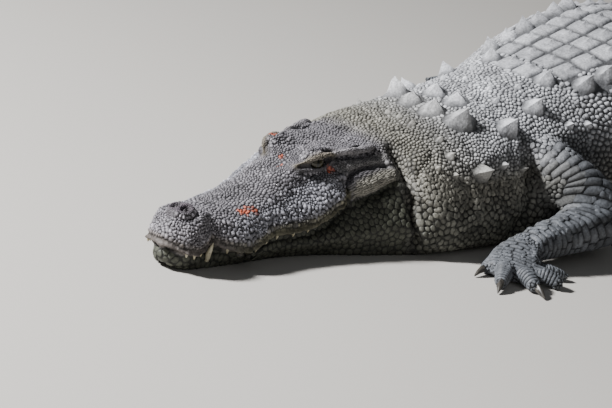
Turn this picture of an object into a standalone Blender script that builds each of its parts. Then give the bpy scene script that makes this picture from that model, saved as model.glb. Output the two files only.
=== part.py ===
"""A Nile crocodile at rest on its belly, as the solids of its main body parts.

Metres, +Z up. The origin lies on the floor under the middle of the trunk, +X runs towards the tail
and -Y is the animal's left. Lengths inside the script are in head lengths: the distance from the
snout tip to the back of the skull table, which the proportions of a crocodile are given in.
"""

import math

import bmesh
import bpy
import numpy as np
from mathutils import Matrix, Vector

HEAD = 0.58  # snout tip to the back of the skull table, metres
CUT = 0.0004 / HEAD  # clear gap between neighbouring solids
TRUNK_MIDDLE = 2.65  # distance of the origin behind the snout tip

# Stations along the body, as distances behind the snout tip.
COMMISSURE = 0.88
HEAD_END = 1.08
NECK_END = 1.52
CHEST_END = 2.62
TRUNK_END = 3.78
TAIL_END = 7.3
TAIL_CUTS = (4.45, 5.15, 5.85, 6.55)
WHORL = 0.15  # length of one ring of tail scales
CREST_JOIN = 5.55  # where the two tail crests meet in one

# Turns of the body axis, in degrees. The head looks a little to the left.
HEAD_TURN = 9.5
NECK_TURN = 4.0
NECK_STRETCH = 0.10  # how much narrower the stretched right side of the neck is
TRUNK_TURN = 10.0
TAIL_SWING = 26.0


def curve_through(*keys):
    """A smooth curve through (station, value) keys that never overshoots them."""
    x = np.array([k[0] for k in keys], float)
    y = np.array([k[1] for k in keys], float)
    step = np.diff(x)
    slope = np.diff(y) / step
    tangent = np.zeros(len(x))
    same_way = slope[1:] * slope[:-1] > 0
    harmonic = 2 * slope[1:] * slope[:-1] / np.where(same_way, slope[1:] + slope[:-1], 1)
    tangent[1:-1] = np.where(same_way, harmonic, 0)
    tangent[0], tangent[-1] = slope[0], slope[-1]

    def value(at):
        at = min(max(at, x[0]), x[-1])
        i = min(int(np.searchsorted(x, at, side="right")) - 1, len(step) - 1)
        t = (at - x[i]) / step[i]
        return float(
            y[i] * (1 + 2 * t) * (1 - t) ** 2
            + tangent[i] * step[i] * t * (1 - t) ** 2
            + y[i + 1] * t * t * (3 - 2 * t)
            + tangent[i + 1] * step[i] * t * t * (t - 1)
        )

    return value


# The head. Each pair of curves is one line running back along it: half its width, and its height.
LIP_Y = curve_through(
    (0, 0.012), (0.012, 0.050), (0.04, 0.084), (0.08, 0.100), (0.125, 0.100), (0.16, 0.088),
    (0.20, 0.106), (0.24, 0.143), (0.29, 0.163), (0.35, 0.162), (0.43, 0.158), (0.52, 0.182),
    (0.62, 0.198), (0.74, 0.208), (0.88, 0.228), (1.0, 0.248), (1.2, 0.31),
)
LIP_Z = curve_through(
    (0, 0.080), (0.07, 0.056), (0.12, 0.064), (0.16, 0.084), (0.20, 0.068), (0.28, 0.054),
    (0.36, 0.066), (0.43, 0.090), (0.53, 0.092), (0.62, 0.104), (0.70, 0.130), (0.80, 0.176),
    (0.88, 0.206), (1.0, 0.234), (1.2, 0.25),
)
TOP_Z = curve_through(
    (0, 0.105), (0.01, 0.145), (0.028, 0.178), (0.06, 0.197), (0.10, 0.205), (0.145, 0.196),
    (0.20, 0.182), (0.30, 0.188), (0.40, 0.208), (0.50, 0.238), (0.60, 0.278), (0.66, 0.302),
    (0.72, 0.320), (0.80, 0.332), (0.90, 0.338), (1.0, 0.340), (1.2, 0.39),
)
RIDGE_Y = curve_through(
    (0, 0.008), (0.04, 0.038), (0.09, 0.050), (0.3, 0.078), (0.5, 0.076), (0.62, 0.070),
    (0.72, 0.082), (0.80, 0.108), (0.86, 0.126), (1.0, 0.134), (1.2, 0.17),
)
RIDGE_RISE = curve_through(
    (0, -0.006), (0.08, -0.010), (0.3, -0.012), (0.52, -0.010), (0.62, 0.002), (0.68, 0.020),
    (0.73, 0.030), (0.78, 0.018), (0.84, 0.002), (1.0, 0.0), (1.2, -0.02),
)
EAVE_Y = curve_through(
    (0, 0.011), (0.04, 0.066), (0.09, 0.086), (0.16, 0.074), (0.22, 0.098), (0.3, 0.124),
    (0.45, 0.112), (0.62, 0.100), (0.72, 0.120), (0.80, 0.136), (0.88, 0.148), (1.0, 0.160),
    (1.2, 0.26),
)
EAVE_Z = curve_through(
    (0, 0.098), (0.04, 0.152), (0.09, 0.166), (0.16, 0.150), (0.3, 0.154), (0.45, 0.184),
    (0.62, 0.238), (0.72, 0.284), (0.80, 0.296), (0.88, 0.302), (1.0, 0.306), (1.2, 0.32),
)
CHEEK_Y = curve_through(
    (0, 0.012), (0.04, 0.082), (0.09, 0.100), (0.16, 0.088), (0.22, 0.125), (0.30, 0.160),
    (0.43, 0.150), (0.55, 0.170), (0.70, 0.192), (0.82, 0.208), (0.92, 0.226), (1.0, 0.240),
    (1.2, 0.32),
)
CHEEK_Z = curve_through(
    (0, 0.088), (0.09, 0.112), (0.16, 0.120), (0.31, 0.104), (0.43, 0.136), (0.55, 0.150),
    (0.70, 0.196), (0.82, 0.236), (0.92, 0.258), (1.0, 0.270), (1.2, 0.28),
)
JAW_Y = curve_through(
    (0, 0.010), (0.02, 0.045), (0.08, 0.084), (0.16, 0.084), (0.31, 0.142), (0.45, 0.150),
    (0.62, 0.206), (0.78, 0.262), (0.90, 0.312), (1.0, 0.350), (1.2, 0.43),
)
JAW_Z = curve_through((0, 0.056), (0.1, 0.040), (0.5, 0.042), (0.8, 0.085), (1.0, 0.12), (1.2, 0.12))
BASE_Y = curve_through(
    (0, 0.006), (0.03, 0.032), (0.10, 0.062), (0.31, 0.100), (0.5, 0.128), (0.7, 0.195),
    (0.88, 0.285), (1.0, 0.330), (1.2, 0.38),
)
BASE_Z = curve_through((0, 0.050), (0.02, 0.026), (0.06, 0.009), (0.12, 0.001), (0.16, 0.0), (1.2, 0.0))

# Neck, trunk and tail: half width, height of the back, height of the widest level.
BODY_W = curve_through(
    (1.0, 0.385), (1.2, 0.430), (1.45, 0.425), (1.7, 0.410), (1.95, 0.430), (2.3, 0.505),
    (2.7, 0.555), (3.1, 0.530), (3.5, 0.420), (3.8, 0.300), (4.2, 0.232), (4.8, 0.178),
    (5.5, 0.120), (6.3, 0.070), (7.0, 0.034), (7.3, 0.010),
)
BODY_TOP = curve_through(
    (1.0, 0.335), (1.1, 0.362), (1.2, 0.392), (1.4, 0.440), (1.7, 0.505), (1.9, 0.552),
    (2.2, 0.625), (2.6, 0.690), (3.0, 0.662), (3.4, 0.562), (3.8, 0.452), (4.2, 0.375),
    (4.8, 0.308), (5.5, 0.242), (6.3, 0.170), (7.0, 0.090), (7.3, 0.030),
)
BODY_MID = curve_through(
    (1.0, 0.120), (1.4, 0.150), (2.1, 0.190), (2.8, 0.200), (3.5, 0.190), (4.2, 0.165),
    (5.5, 0.110), (6.5, 0.060), (7.3, 0.012),
)
CREST = curve_through((3.6, 0.0), (4.0, 0.020), (4.8, 0.040), (5.6, 0.060), (6.6, 0.055), (7.2, 0.020))


def smooth_step(value, low, high):
    t = min(max((value - low) / (high - low), 0.0), 1.0)
    return t * t * (3 - 2 * t)


def head_section(a):
    """The eight corner points of half a section through the head: half width and height."""
    return np.array([
        (0, TOP_Z(a)),
        (RIDGE_Y(a), TOP_Z(a) + RIDGE_RISE(a)),
        (EAVE_Y(a), EAVE_Z(a)),
        (CHEEK_Y(a), CHEEK_Z(a)),
        (LIP_Y(a), LIP_Z(a)),
        (JAW_Y(a), JAW_Z(a)),
        (BASE_Y(a), BASE_Z(a)),
        (0, BASE_Z(a)),
    ])


def body_section(a):
    """The same eight points for the neck, trunk and tail, from a width and two heights."""
    w, top, mid = BODY_W(a), BODY_TOP(a), BODY_MID(a)
    rise = top - mid
    tail = smooth_step(a, 3.5, 4.3)
    neck = 1 - smooth_step(a, 1.5, 2.4)
    return np.array([
        (0, top),
        (0.42 * w * (1 - 0.45 * tail - 0.10 * neck), top - 0.045 * rise),
        (0.82 * w * (1 - 0.16 * tail - 0.08 * neck), mid + 0.64 * rise),
        (w, mid),
        (0.985 * w, 0.60 * mid),
        (0.94 * w, 0.20 * mid),
        (0.80 * w, 0),
        (0, 0),
    ])


def section(a):
    """Half a section at station a: the head's form passes into the neck's behind the jaw."""
    share = smooth_step(a, 0.96, 1.24)
    if share == 0:
        return head_section(a)
    if share == 1:
        return body_section(a)
    return (1 - share) * head_section(a) + share * body_section(a)


def rounded(corners, spans):
    """A smooth line through the corners, with so many steps in each span."""
    ends = np.vstack([2 * corners[0] - corners[1], corners, 2 * corners[-1] - corners[-2]])
    if corners[0][0] == 0:
        ends[0] = corners[1] * (-1, 1)
    if corners[-1][0] == 0:
        ends[-1] = corners[-2] * (-1, 1)
    line = []
    for i, steps in enumerate(spans):
        p0, p1, p2, p3 = ends[i : i + 4]
        for k in range(steps):
            t = k / steps
            line.append(
                0.5 * (2 * p1 + (p2 - p0) * t + (2 * p0 - 5 * p1 + 4 * p2 - p3) * t * t
                       + (3 * p1 - p0 - 3 * p2 + p3) * t ** 3)
            )
    line.append(corners[-1])
    line = np.array(line)
    line[:, 0] = np.maximum(line[:, 0], 0)
    line[:, 1] = np.maximum(line[:, 1], 0)
    return line


def heading(a):
    """The direction of the body axis at station a, in degrees from +X towards +Y."""
    head = HEAD_TURN * (1 - smooth_step(a, 0.92, 1.16))
    neck = NECK_TURN * smooth_step(a, 0.96, 1.2) * (1 - smooth_step(a, 1.3, 1.6))
    trunk = TRUNK_TURN * smooth_step(a, 1.7, 2.6)
    swing = TAIL_SWING * (smooth_step(a, 3.3, 4.9) - 1.6 * smooth_step(a, 5.0, 7.0))
    return head - neck + trunk - swing


def walk_axis(step=0.01):
    """The body axis in plan, as stations with their places, through the origin at TRUNK_MIDDLE."""
    stations = np.arange(-0.05, TAIL_END + 0.05, step)
    turns = np.radians([heading(a) for a in stations])
    x = np.concatenate([[0], np.cumsum(np.cos(turns[:-1]) * step)])
    y = np.concatenate([[0], np.cumsum(np.sin(turns[:-1]) * step)])
    x -= np.interp(TRUNK_MIDDLE, stations, x)
    y -= np.interp(TRUNK_MIDDLE, stations, y)
    return stations, x, y


STATIONS, AXIS_X, AXIS_Y = walk_axis()


def place(a, out, z):
    """The point at station a, so far out to the animal's right and so high. Metres."""
    turn = math.radians(heading(a))
    x = np.interp(a, STATIONS, AXIS_X) - out * math.sin(turn)
    y = np.interp(a, STATIONS, AXIS_Y) + out * math.cos(turn)
    return Vector((x, y, z)) * HEAD


def limb_place(root, a, out, z):
    """The same, but along a straight line through station root, as a bend in the body leaves limbs be."""
    turn = math.radians(heading(root))
    return place(root, out, z) + Vector((math.cos(turn), math.sin(turn), 0)) * (a - root) * HEAD


def ring(a, half):
    """A closed ring at station a from half a section, which runs from the top down to the floor."""
    left = [place(a, -y, z) for y, z in half]
    stretch = 1 - NECK_STRETCH * smooth_step(a, 0.94, 1.15) * (1 - smooth_step(a, 1.6, 2.2))
    right = [place(a, y * stretch, z) for y, z in half[-2:0:-1]]
    return left + right


def grown(half, by):
    """Half a section moved outwards by a distance, for a cutter round it."""
    along = np.gradient(half, axis=0)
    out = np.stack([-along[:, 1], along[:, 0]], 1)
    out /= np.maximum(np.linalg.norm(out, axis=1), 1e-9)[:, None]
    moved = half + out * by
    moved[0, 0] = moved[-1, 0] = 0
    return moved


# ---- meshes

SHARP_ANGLE = 62.0


def material(name, colour, roughness):
    made = bpy.data.materials.new(name)
    made.use_nodes = True
    shader = made.node_tree.nodes["Principled BSDF"]
    shader.inputs["Base Color"].default_value = (*colour, 1)
    shader.inputs["Roughness"].default_value = roughness
    shader.inputs["Metallic"].default_value = 0
    return made


def loft(rings, close_start=True, close_end=True):
    """A closed bmesh through rings of equal count."""
    bm = bmesh.new()
    rows = [[bm.verts.new(p) for p in points] for points in rings]
    count = len(rows[0])
    for low, high in zip(rows, rows[1:]):
        for i in range(count):
            bm.faces.new((low[i], low[(i + 1) % count], high[(i + 1) % count], high[i]))
    if close_start:
        bm.faces.new(rows[0])
    if close_end:
        bm.faces.new(rows[-1][::-1])
    bmesh.ops.recalc_face_normals(bm, faces=bm.faces)
    return bm


def node(name, bm, finish, group):
    mesh = bpy.data.meshes.new(name)
    bmesh.ops.triangulate(bm, faces=bm.faces)
    bmesh.ops.remove_doubles(bm, verts=bm.verts, dist=0.00005)
    bmesh.ops.dissolve_degenerate(bm, edges=bm.edges, dist=0.00005)
    bmesh.ops.triangulate(bm, faces=bm.faces)
    bmesh.ops.recalc_face_normals(bm, faces=bm.faces)
    bm.to_mesh(mesh)
    bm.free()
    made = bpy.data.objects.new(name, mesh)
    mesh.materials.append(finish)
    mesh.shade_smooth()
    mesh.set_sharp_from_angle(angle=math.radians(SHARP_ANGLE))
    group.objects.link(made)
    return made


def boolean(target, other, operation):
    modifier = target.modifiers.new(f"{operation}_{other.name}", "BOOLEAN")
    modifier.operation = operation
    modifier.object = other
    modifier.solver = "EXACT"
    return modifier


def as_cutter(obj):
    obj.hide_render = True
    obj.display_type = "WIRE"
    return obj


# ---- head, jaw, neck, trunk and tail

UPPER_SPANS = (2, 2, 2, 2)
LOWER_SPANS = (2, 1, 1)
HEAD_STATIONS = (
    0.0, 0.006, 0.02, 0.045, 0.08, 0.12, 0.146, 0.162, 0.182, 0.21, 0.245, 0.29, 0.35, 0.43, 0.51,
    0.58, 0.64, 0.685, 0.73, 0.77, 0.82, 0.88, 0.95, 1.0, 1.04, HEAD_END - CUT / 2,
)
JAW_INSET = 0.016  # how far inside the upper lip the lower jaw's edge lies
MOUTH_GAP = 0.0005  # how much wider than other gaps the closed mouth's is


def head_rings():
    """The upper jaw and skull, flat below along the mouth."""
    rings = []
    for a in HEAD_STATIONS:
        half = rounded(section(a)[:5], UPPER_SPANS)
        floor = np.array([(half[-1][0] * 0.5, half[-1][1]), (0, half[-1][1])])
        rings.append(ring(a, np.vstack([half, floor])))
    return rings


def jaw_rings():
    """The lower jaw, which sits inside the upper lip as far back as the corner of the mouth."""
    rings = []
    for a in HEAD_STATIONS:
        share = 1 - smooth_step(a, COMMISSURE - 0.06, COMMISSURE + 0.06)
        corners = section(a)[4:].copy()
        inset = min(JAW_INSET, 0.3 * corners[0][0]) * share
        corners[0] = (corners[0][0] - inset, corners[0][1] - CUT - MOUTH_GAP * share)
        half = rounded(corners, LOWER_SPANS)
        roof = np.array([(0, half[0][1]), (half[0][0] * 0.5, half[0][1])])
        rings.append(ring(a, np.vstack([roof, half])))
    return rings


UPPER_TEETH = (  # station and length
    (0.045, 0.014), (0.075, 0.020), (0.105, 0.016), (0.220, 0.018), (0.255, 0.024), (0.295, 0.026),
    (0.335, 0.018), (0.450, 0.014),
)
UPPER_TOOTH_THICKNESS = 0.007
TOOTH_INSET = 0.003  # how far inside the lip's edge the upper teeth stand
TOOTH_ROOT = 0.012  # how deep they are set in the jaw
FOURTH_TOOTH = ((0.162, 0.079, 0.030), (0.160, 0.104, 0.104), 0.011)  # root, tip, thickness
TOOTH_SIDES = 4


def tooth(name, root, tip, thick, finish, group):
    """A cone between two places."""
    run = tip - root
    bm = bmesh.new()
    bmesh.ops.create_cone(bm, cap_ends=True, segments=TOOTH_SIDES, radius1=thick * HEAD, radius2=0,
                          depth=run.length)
    turn = run.to_track_quat("Z", "Y").to_matrix().to_4x4()
    bmesh.ops.transform(bm, verts=bm.verts, matrix=Matrix.Translation((root + tip) / 2) @ turn)
    return node(name, bm, finish, group)


def add_teeth(head, jaw, finish, cutters):
    """The upper teeth overhang the lower jaw, and its fourth tooth fits the notch in the snout."""
    for side_name, side in (("left", -1), ("right", 1)):
        for number, (a, length) in enumerate(UPPER_TEETH, 1):
            out = side * (LIP_Y(a) - TOOTH_INSET)
            each = tooth(f"tooth_{side_name}_{number}", place(a, out, LIP_Z(a) + TOOTH_ROOT),
                         place(a, out, LIP_Z(a) - length), UPPER_TOOTH_THICKNESS, finish, cutters)
            boolean(head, as_cutter(each), "UNION")
        root, tip, thick = FOURTH_TOOTH
        fourth = tooth(f"fourth_tooth_{side_name}", place(root[0], side * root[1], root[2]),
                       place(tip[0], side * tip[1], tip[2]), thick, finish, cutters)
        boolean(jaw, as_cutter(fourth), "UNION")


BODY_SPANS = (2, 2, 1, 1, 1, 1, 1)
TAIL_SPANS = (1, 1, 1, 1, 1, 1, 1)
BODY_LENGTHS = (("neck", HEAD_END, NECK_END, 6), ("chest", NECK_END, CHEST_END, 10),
                ("belly", CHEST_END, TRUNK_END, 10))


WALL_PAST = 0.2  # how far past the trunk its wall runs


def body_rings(start, end, count, by=0.0):
    """Rings of the neck or trunk between two stations."""
    rings = []
    for a in np.linspace(start + CUT / 2, end - CUT / 2, count):
        half = rounded(section(a), BODY_SPANS)
        rings.append(ring(a, grown(half, by) if by else half))
    return rings


def wall_rings():
    """The neck and trunk in one, a little larger: what the limbs are cut off by."""
    rings = []
    for name, start, end, count in BODY_LENGTHS:
        rings += body_rings(start, end, count, CUT)
    past = TRUNK_END + WALL_PAST
    rings.append(ring(past, grown(rounded(section(past), BODY_SPANS), CUT)))
    return rings


def crest_section(a, peak):
    """Half a tail section. On a peak ring the crest scales stand up, two at first and then one."""
    half = rounded(section(a), TAIL_SPANS)
    rise = CREST(a) * (1.0 if peak else 0.25)
    double = 1 - smooth_step(a, CREST_JOIN - 0.35, CREST_JOIN)
    half[1, 1] += rise * double
    half[0, 1] += rise * (1 - double)
    return half


def tail_rings(start, end):
    """Tail rings, one low and one high to each whorl of scales."""
    whorls = max(1, round((end - start) / WHORL))
    step = (end - start) / whorls
    rings = [ring(start, crest_section(start, False))]
    for i in range(whorls):
        rings.append(ring(start + (i + 0.62) * step, crest_section(start + (i + 0.62) * step, True)))
        rings.append(ring(start + (i + 1) * step, crest_section(start + (i + 1) * step, False)))
    return rings


# ---- limbs. Places are (station, distance out from the axis, height); thickness across and in depth.


SQUARENESS = 2.6  # of a limb's section: 2 is an ellipse


def tube_rings(side, root, stations, count, by=0.0, steps=2):
    """Rings of a limb length. A station is (a, out, z, half width, half depth)."""
    keys = np.array(stations, float)
    t = np.arange(len(keys))
    curves = [curve_through(*zip(t, keys[:, i])) for i in range(5)]
    params = np.linspace(0, t[-1], (len(keys) - 1) * steps + 1)
    values = np.array([[c(u) for c in curves] for u in params])
    centres = [limb_place(root, v[0], side * v[1], v[2]) for v in values]
    rings = []
    for i, (centre, v) in enumerate(zip(centres, values)):
        ahead = centres[min(i + 1, len(centres) - 1)] - centres[max(i - 1, 0)]
        ahead.normalize()
        across = ahead.cross(Vector((0, 0, 1)))
        across.normalize()
        up = across.cross(ahead)
        if by and i in (0, len(centres) - 1):
            centre = centre + ahead * by * HEAD * (1 if i else -1)
        points = []
        for k in range(count):
            angle = 2 * math.pi * k / count
            c, s = math.cos(angle), math.sin(angle)
            square = (abs(c) ** SQUARENESS + abs(s) ** SQUARENESS) ** (-1 / SQUARENESS)
            p = centre + (across * c * (v[3] + by) + up * s * (v[4] + by)) * square * HEAD
            p.z = max(p.z, 0)
            points.append(p)
        rings.append(points)
    return rings


LEFT_ARM = dict(
    root=1.8,
    arm=((1.70, 0.16, 0.31, 0.13, 0.12), (1.75, 0.31, 0.285, 0.125, 0.118),
         (1.83, 0.43, 0.225, 0.115, 0.115), (1.90, 0.505, 0.155, 0.102, 0.105),
         (1.93, 0.55, 0.11, 0.060, 0.065)),
    fore=((1.95, 0.53, 0.12, 0.055, 0.06), (1.91, 0.535, 0.13, 0.090, 0.092),
          (1.76, 0.545, 0.125, 0.092, 0.086), (1.58, 0.548, 0.102, 0.078, 0.070),
          (1.45, 0.545, 0.080, 0.070, 0.056)),
    palm=((1.49, 0.545, 0.084, 0.062, 0.052), (1.42, 0.550, 0.070, 0.080, 0.050),
          (1.355, 0.575, 0.052, 0.098, 0.042), (1.29, 0.61, 0.038, 0.094, 0.034),
          (1.25, 0.63, 0.034, 0.068, 0.026)),
    digits=(  # base and tip (station, distance out), half thickness, claw
        ((1.33, 0.530), (1.215, 0.550), 0.031, True),
        ((1.28, 0.600), (1.155, 0.680), 0.034, True),
        ((1.29, 0.655), (1.265, 0.755), 0.034, True),
        ((1.35, 0.670), (1.405, 0.760), 0.032, False),
        ((1.41, 0.635), (1.510, 0.700), 0.026, False),
    ),
)
RIGHT_ARM = dict(
    root=1.8,
    arm=((1.76, 0.14, 0.28, 0.12, 0.11), (1.84, 0.30, 0.25, 0.118, 0.108),
         (1.96, 0.43, 0.19, 0.110, 0.105), (2.06, 0.540, 0.14, 0.100, 0.100),
         (2.10, 0.58, 0.11, 0.060, 0.065)),
    fore=((2.05, 0.535, 0.12, 0.060, 0.06), (2.10, 0.570, 0.122, 0.090, 0.088),
          (2.24, 0.650, 0.106, 0.090, 0.082), (2.40, 0.715, 0.083, 0.076, 0.066),
          (2.53, 0.750, 0.066, 0.068, 0.052)),
    palm=((2.49, 0.740, 0.070, 0.062, 0.052), (2.56, 0.760, 0.060, 0.080, 0.046),
          (2.63, 0.780, 0.048, 0.098, 0.040), (2.70, 0.805, 0.038, 0.094, 0.034),
          (2.74, 0.815, 0.034, 0.068, 0.026)),
    digits=(
        ((2.68, 0.750), (2.80, 0.770), 0.031, True),
        ((2.71, 0.795), (2.86, 0.850), 0.034, True),
        ((2.70, 0.840), (2.81, 0.930), 0.034, True),
        ((2.65, 0.865), (2.72, 0.970), 0.032, False),
        ((2.60, 0.845), (2.63, 0.935), 0.026, False),
    ),
)
LEFT_LEG = dict(
    root=3.5,
    arm=((3.56, 0.16, 0.34, 0.20, 0.16), (3.46, 0.34, 0.29, 0.175, 0.150),
         (3.30, 0.52, 0.23, 0.140, 0.130), (3.20, 0.625, 0.185, 0.115, 0.112),
         (3.17, 0.68, 0.16, 0.060, 0.07)),
    fore=((3.16, 0.635, 0.155, 0.060, 0.07), (3.23, 0.645, 0.160, 0.098, 0.098),
          (3.38, 0.685, 0.145, 0.098, 0.092), (3.55, 0.725, 0.105, 0.072, 0.068),
          (3.66, 0.75, 0.070, 0.052, 0.050)),
    palm=((3.69, 0.745, 0.055, 0.045, 0.044), (3.60, 0.765, 0.052, 0.068, 0.046),
          (3.46, 0.80, 0.044, 0.086, 0.040), (3.32, 0.845, 0.036, 0.112, 0.030),
          (3.20, 0.885, 0.026, 0.128, 0.020)),
    digits=(
        ((3.30, 0.765), (3.055, 0.740), 0.030, True),
        ((3.28, 0.820), (2.960, 0.850), 0.034, True),
        ((3.28, 0.880), (2.960, 0.970), 0.034, True),
        ((3.31, 0.935), (3.060, 1.080), 0.028, False),
    ),
)


def slid(plan, back):
    """The same limb, with all but its root moved back along the body."""
    moved = {"root": plan["root"]}
    for key in ("arm", "fore", "palm"):
        moved[key] = tuple((k[0] + (back if key != "arm" or n > 1 else 0), *k[1:])
                           for n, k in enumerate(plan[key]))
    moved["digits"] = tuple(((b[0] + back, b[1]), (t[0] + back, t[1]), thick, claw)
                            for b, t, thick, claw in plan["digits"])
    return moved


RIGHT_LEG = slid(LEFT_LEG, 0.09)
LIMB_COUNT = 8
DIGIT_COUNT = 6
CLAW_COUNT = 5
CLAW_LENGTH = 0.055


def digit_rings(side, root, base, tip, thick, by=0.0):
    """A digit: an arched knuckle, then down to a blunt tip that rests on the floor."""
    stations = []
    for t, height, size in (
        (0.0, 1.05, 0.9), (0.35, 1.35, 1.0), (0.75, 0.90, 0.86), (1.0, 0.62, 0.5),
    ):
        a = base[0] + (tip[0] - base[0]) * t
        out = base[1] + (tip[1] - base[1]) * t
        stations.append((a, out, thick * height, thick * size, thick * size * 0.9))
    return tube_rings(side, root, stations, DIGIT_COUNT, by, steps=1)


def claw_rings(side, root, base, tip, thick):
    """A claw, curving down from the end of its digit to a point on the floor."""
    run = np.array(tip) - np.array(base)
    run /= np.linalg.norm(run)
    stations = []
    for t, height, size in (
        (-0.3, 0.80, 0.48), (0.45, 0.66, 0.34), (1.0, 0.16, 0.08),
    ):
        a, out = np.array(tip) + run * CLAW_LENGTH * t
        stations.append((a, out, thick * height, thick * size, thick * size * 1.15))
    return tube_rings(side, root, stations, CLAW_COUNT, steps=1)


def build_limb(side_name, names, side, plan, wall, finishes, parts, cutters):
    """One limb. Each length is cut by what it grows from, so that neighbours meet with a clear gap."""
    skin, horn = finishes
    root = plan["root"]
    walls = [wall]
    for name, key in zip(names, ("arm", "fore", "palm")):
        rings = tube_rings(side, root, plan[key], LIMB_COUNT)
        length = node(f"{name}_{side_name}", loft(rings), skin, parts)
        if key == "palm":
            for number, (base, tip, thick, has_claw) in enumerate(plan["digits"], 1):
                rings = digit_rings(side, root, base, tip, thick)
                digit = node(f"{length.name}_digit_{number}", loft(rings), skin, cutters)
                boolean(length, as_cutter(digit), "UNION")
        for other in walls:
            boolean(length, other, "DIFFERENCE")
        rings = tube_rings(side, root, plan[key], LIMB_COUNT, CUT)
        walls.append(as_cutter(node(f"wall_{length.name}", loft(rings), skin, cutters)))
    for number, (base, tip, thick, has_claw) in enumerate(plan["digits"], 1):
        if not has_claw:
            continue
        rings = claw_rings(side, root, base, tip, thick)
        claw = node(f"claw_{names[2]}_{side_name}_{number}", loft(rings), horn, parts)
        rings = digit_rings(side, root, base, tip, thick, CUT)
        boolean(claw, as_cutter(node(f"wall_{claw.name}", loft(rings), skin, cutters)), "DIFFERENCE")


EYE_AT = (0.705, 0.084, 0.304)
EYE_RADIUS = 0.038
LID_RADII = (0.060, 0.047, 0.047)  # along the body, across it and up
SLIT_RADII = (0.050, 0.040, 0.019)
SLIT_OUT = 0.036  # how far outside the eye's centre the slit between the lids is centred


def ball(name, centre, radii, finish, group, rows=6):
    """A ball or egg with its axes along the head, across it and up."""
    bm = bmesh.new()
    bmesh.ops.create_uvsphere(bm, u_segments=2 * rows - 2, v_segments=rows, radius=HEAD)
    turn = Matrix.Rotation(math.radians(heading(centre[0])), 4, "Z")
    bmesh.ops.transform(bm, verts=bm.verts,
                        matrix=Matrix.Translation(place(*centre)) @ turn @ Matrix.Diagonal((*radii, 1)))
    return node(name, bm, finish, group)


def add_eyes(head, hide, iris, parts, cutters):
    """Each eye lies in a socket under thick lids, which part in a long slit on the outer side."""
    a, out, z = EYE_AT
    for name, side in (("left", -1), ("right", 1)):
        at = (a, side * out, z)
        lids = ball(f"lids_{name}", at, LID_RADII, hide, cutters)
        slit = ball(f"slit_{name}", (a, side * (out + SLIT_OUT), z), SLIT_RADII, hide, cutters, rows=5)
        socket = ball(f"socket_{name}", at, (EYE_RADIUS + CUT,) * 3, hide, cutters)
        boolean(head, as_cutter(lids), "UNION")
        boolean(head, as_cutter(slit), "DIFFERENCE")
        boolean(head, as_cutter(socket), "DIFFERENCE")
        ball(f"eye_{name}", at, (EYE_RADIUS,) * 3, iris, parts)


def main():
    for obj in list(bpy.data.objects):
        bpy.data.objects.remove(obj)
    parts = bpy.data.collections.new("nile_crocodile")
    cutters = bpy.data.collections.new("cutters")
    for group in (parts, cutters):
        bpy.context.scene.collection.children.link(group)
    hide = material("grey_scaled_hide", (0.21, 0.20, 0.185), 0.72)
    throat = material("pale_jaw_hide", (0.26, 0.25, 0.20), 0.65)
    horn = material("dark_claw_horn", (0.045, 0.042, 0.038), 0.4)
    iris = material("olive_eye", (0.16, 0.13, 0.04), 0.12)

    head = node("head", loft(head_rings()), hide, parts)
    jaw = node("lower_jaw", loft(jaw_rings()), throat, parts)
    add_eyes(head, hide, iris, parts, cutters)
    add_teeth(head, jaw, throat, cutters)
    for name, start, end, count in BODY_LENGTHS:
        node(name, loft(body_rings(start, end, count)), hide, parts)
    cuts = (TRUNK_END, *TAIL_CUTS, TAIL_END)
    for number, (start, end) in enumerate(zip(cuts, cuts[1:])):
        last = TAIL_END if end == TAIL_END else end - CUT / 2
        node(f"tail_{number + 1}", loft(tail_rings(start + CUT / 2, last)), hide, parts)

    wall = as_cutter(node("wall_body", loft(wall_rings()), hide, cutters))
    for name, side, arm, leg in (("left", -1, LEFT_ARM, LEFT_LEG), ("right", 1, RIGHT_ARM, RIGHT_LEG)):
        build_limb(name, ("upper_arm", "forearm", "hand"), side, arm, wall, (hide, horn), parts, cutters)
        build_limb(name, ("thigh", "shank", "foot"), side, leg, wall, (hide, horn), parts, cutters)


main()
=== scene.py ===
"""The looks of a Nile crocodile at rest: its hide, scales, teeth, eyes and claws.

Metres, +Z up. The origin is on the floor under the middle of the trunk, +X runs towards the tail
and -Y is the animal's left. Places on the body are given as a station, which is the distance
behind the snout tip, a distance out from the middle line, and a height, all in head lengths.
"""

import math
from itertools import product

import bmesh
import bpy
import numpy as np
from mathutils import Matrix, Quaternion, Vector
from mathutils.bvhtree import BVHTree
from mathutils.kdtree import KDTree


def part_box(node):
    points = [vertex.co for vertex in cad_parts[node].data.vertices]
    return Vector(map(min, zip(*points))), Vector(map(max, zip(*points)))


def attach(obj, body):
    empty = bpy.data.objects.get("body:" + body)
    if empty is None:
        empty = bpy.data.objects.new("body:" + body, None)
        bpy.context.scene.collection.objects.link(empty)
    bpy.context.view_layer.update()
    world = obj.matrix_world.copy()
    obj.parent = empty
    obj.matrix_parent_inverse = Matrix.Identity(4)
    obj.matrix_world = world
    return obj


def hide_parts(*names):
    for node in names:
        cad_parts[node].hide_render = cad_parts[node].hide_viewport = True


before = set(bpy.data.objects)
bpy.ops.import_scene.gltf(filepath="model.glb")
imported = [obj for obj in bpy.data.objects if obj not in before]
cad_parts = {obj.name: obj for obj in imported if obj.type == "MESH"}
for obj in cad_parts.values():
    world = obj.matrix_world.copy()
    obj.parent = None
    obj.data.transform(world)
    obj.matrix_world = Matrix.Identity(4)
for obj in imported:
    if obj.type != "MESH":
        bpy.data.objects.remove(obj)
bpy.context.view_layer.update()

HEAD = 0.58  # snout tip to the back of the skull table, metres
TRUNK_MIDDLE = 2.65  # the station over the origin
TAIL_END = 7.3
AXIS_STEP = 0.01
MIDDLE_HEIGHT = ((1.0, 0.16), (2.7, 0.26), (4.0, 0.18), (5.5, 0.11), (7.3, 0.012))  # station, height
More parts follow.
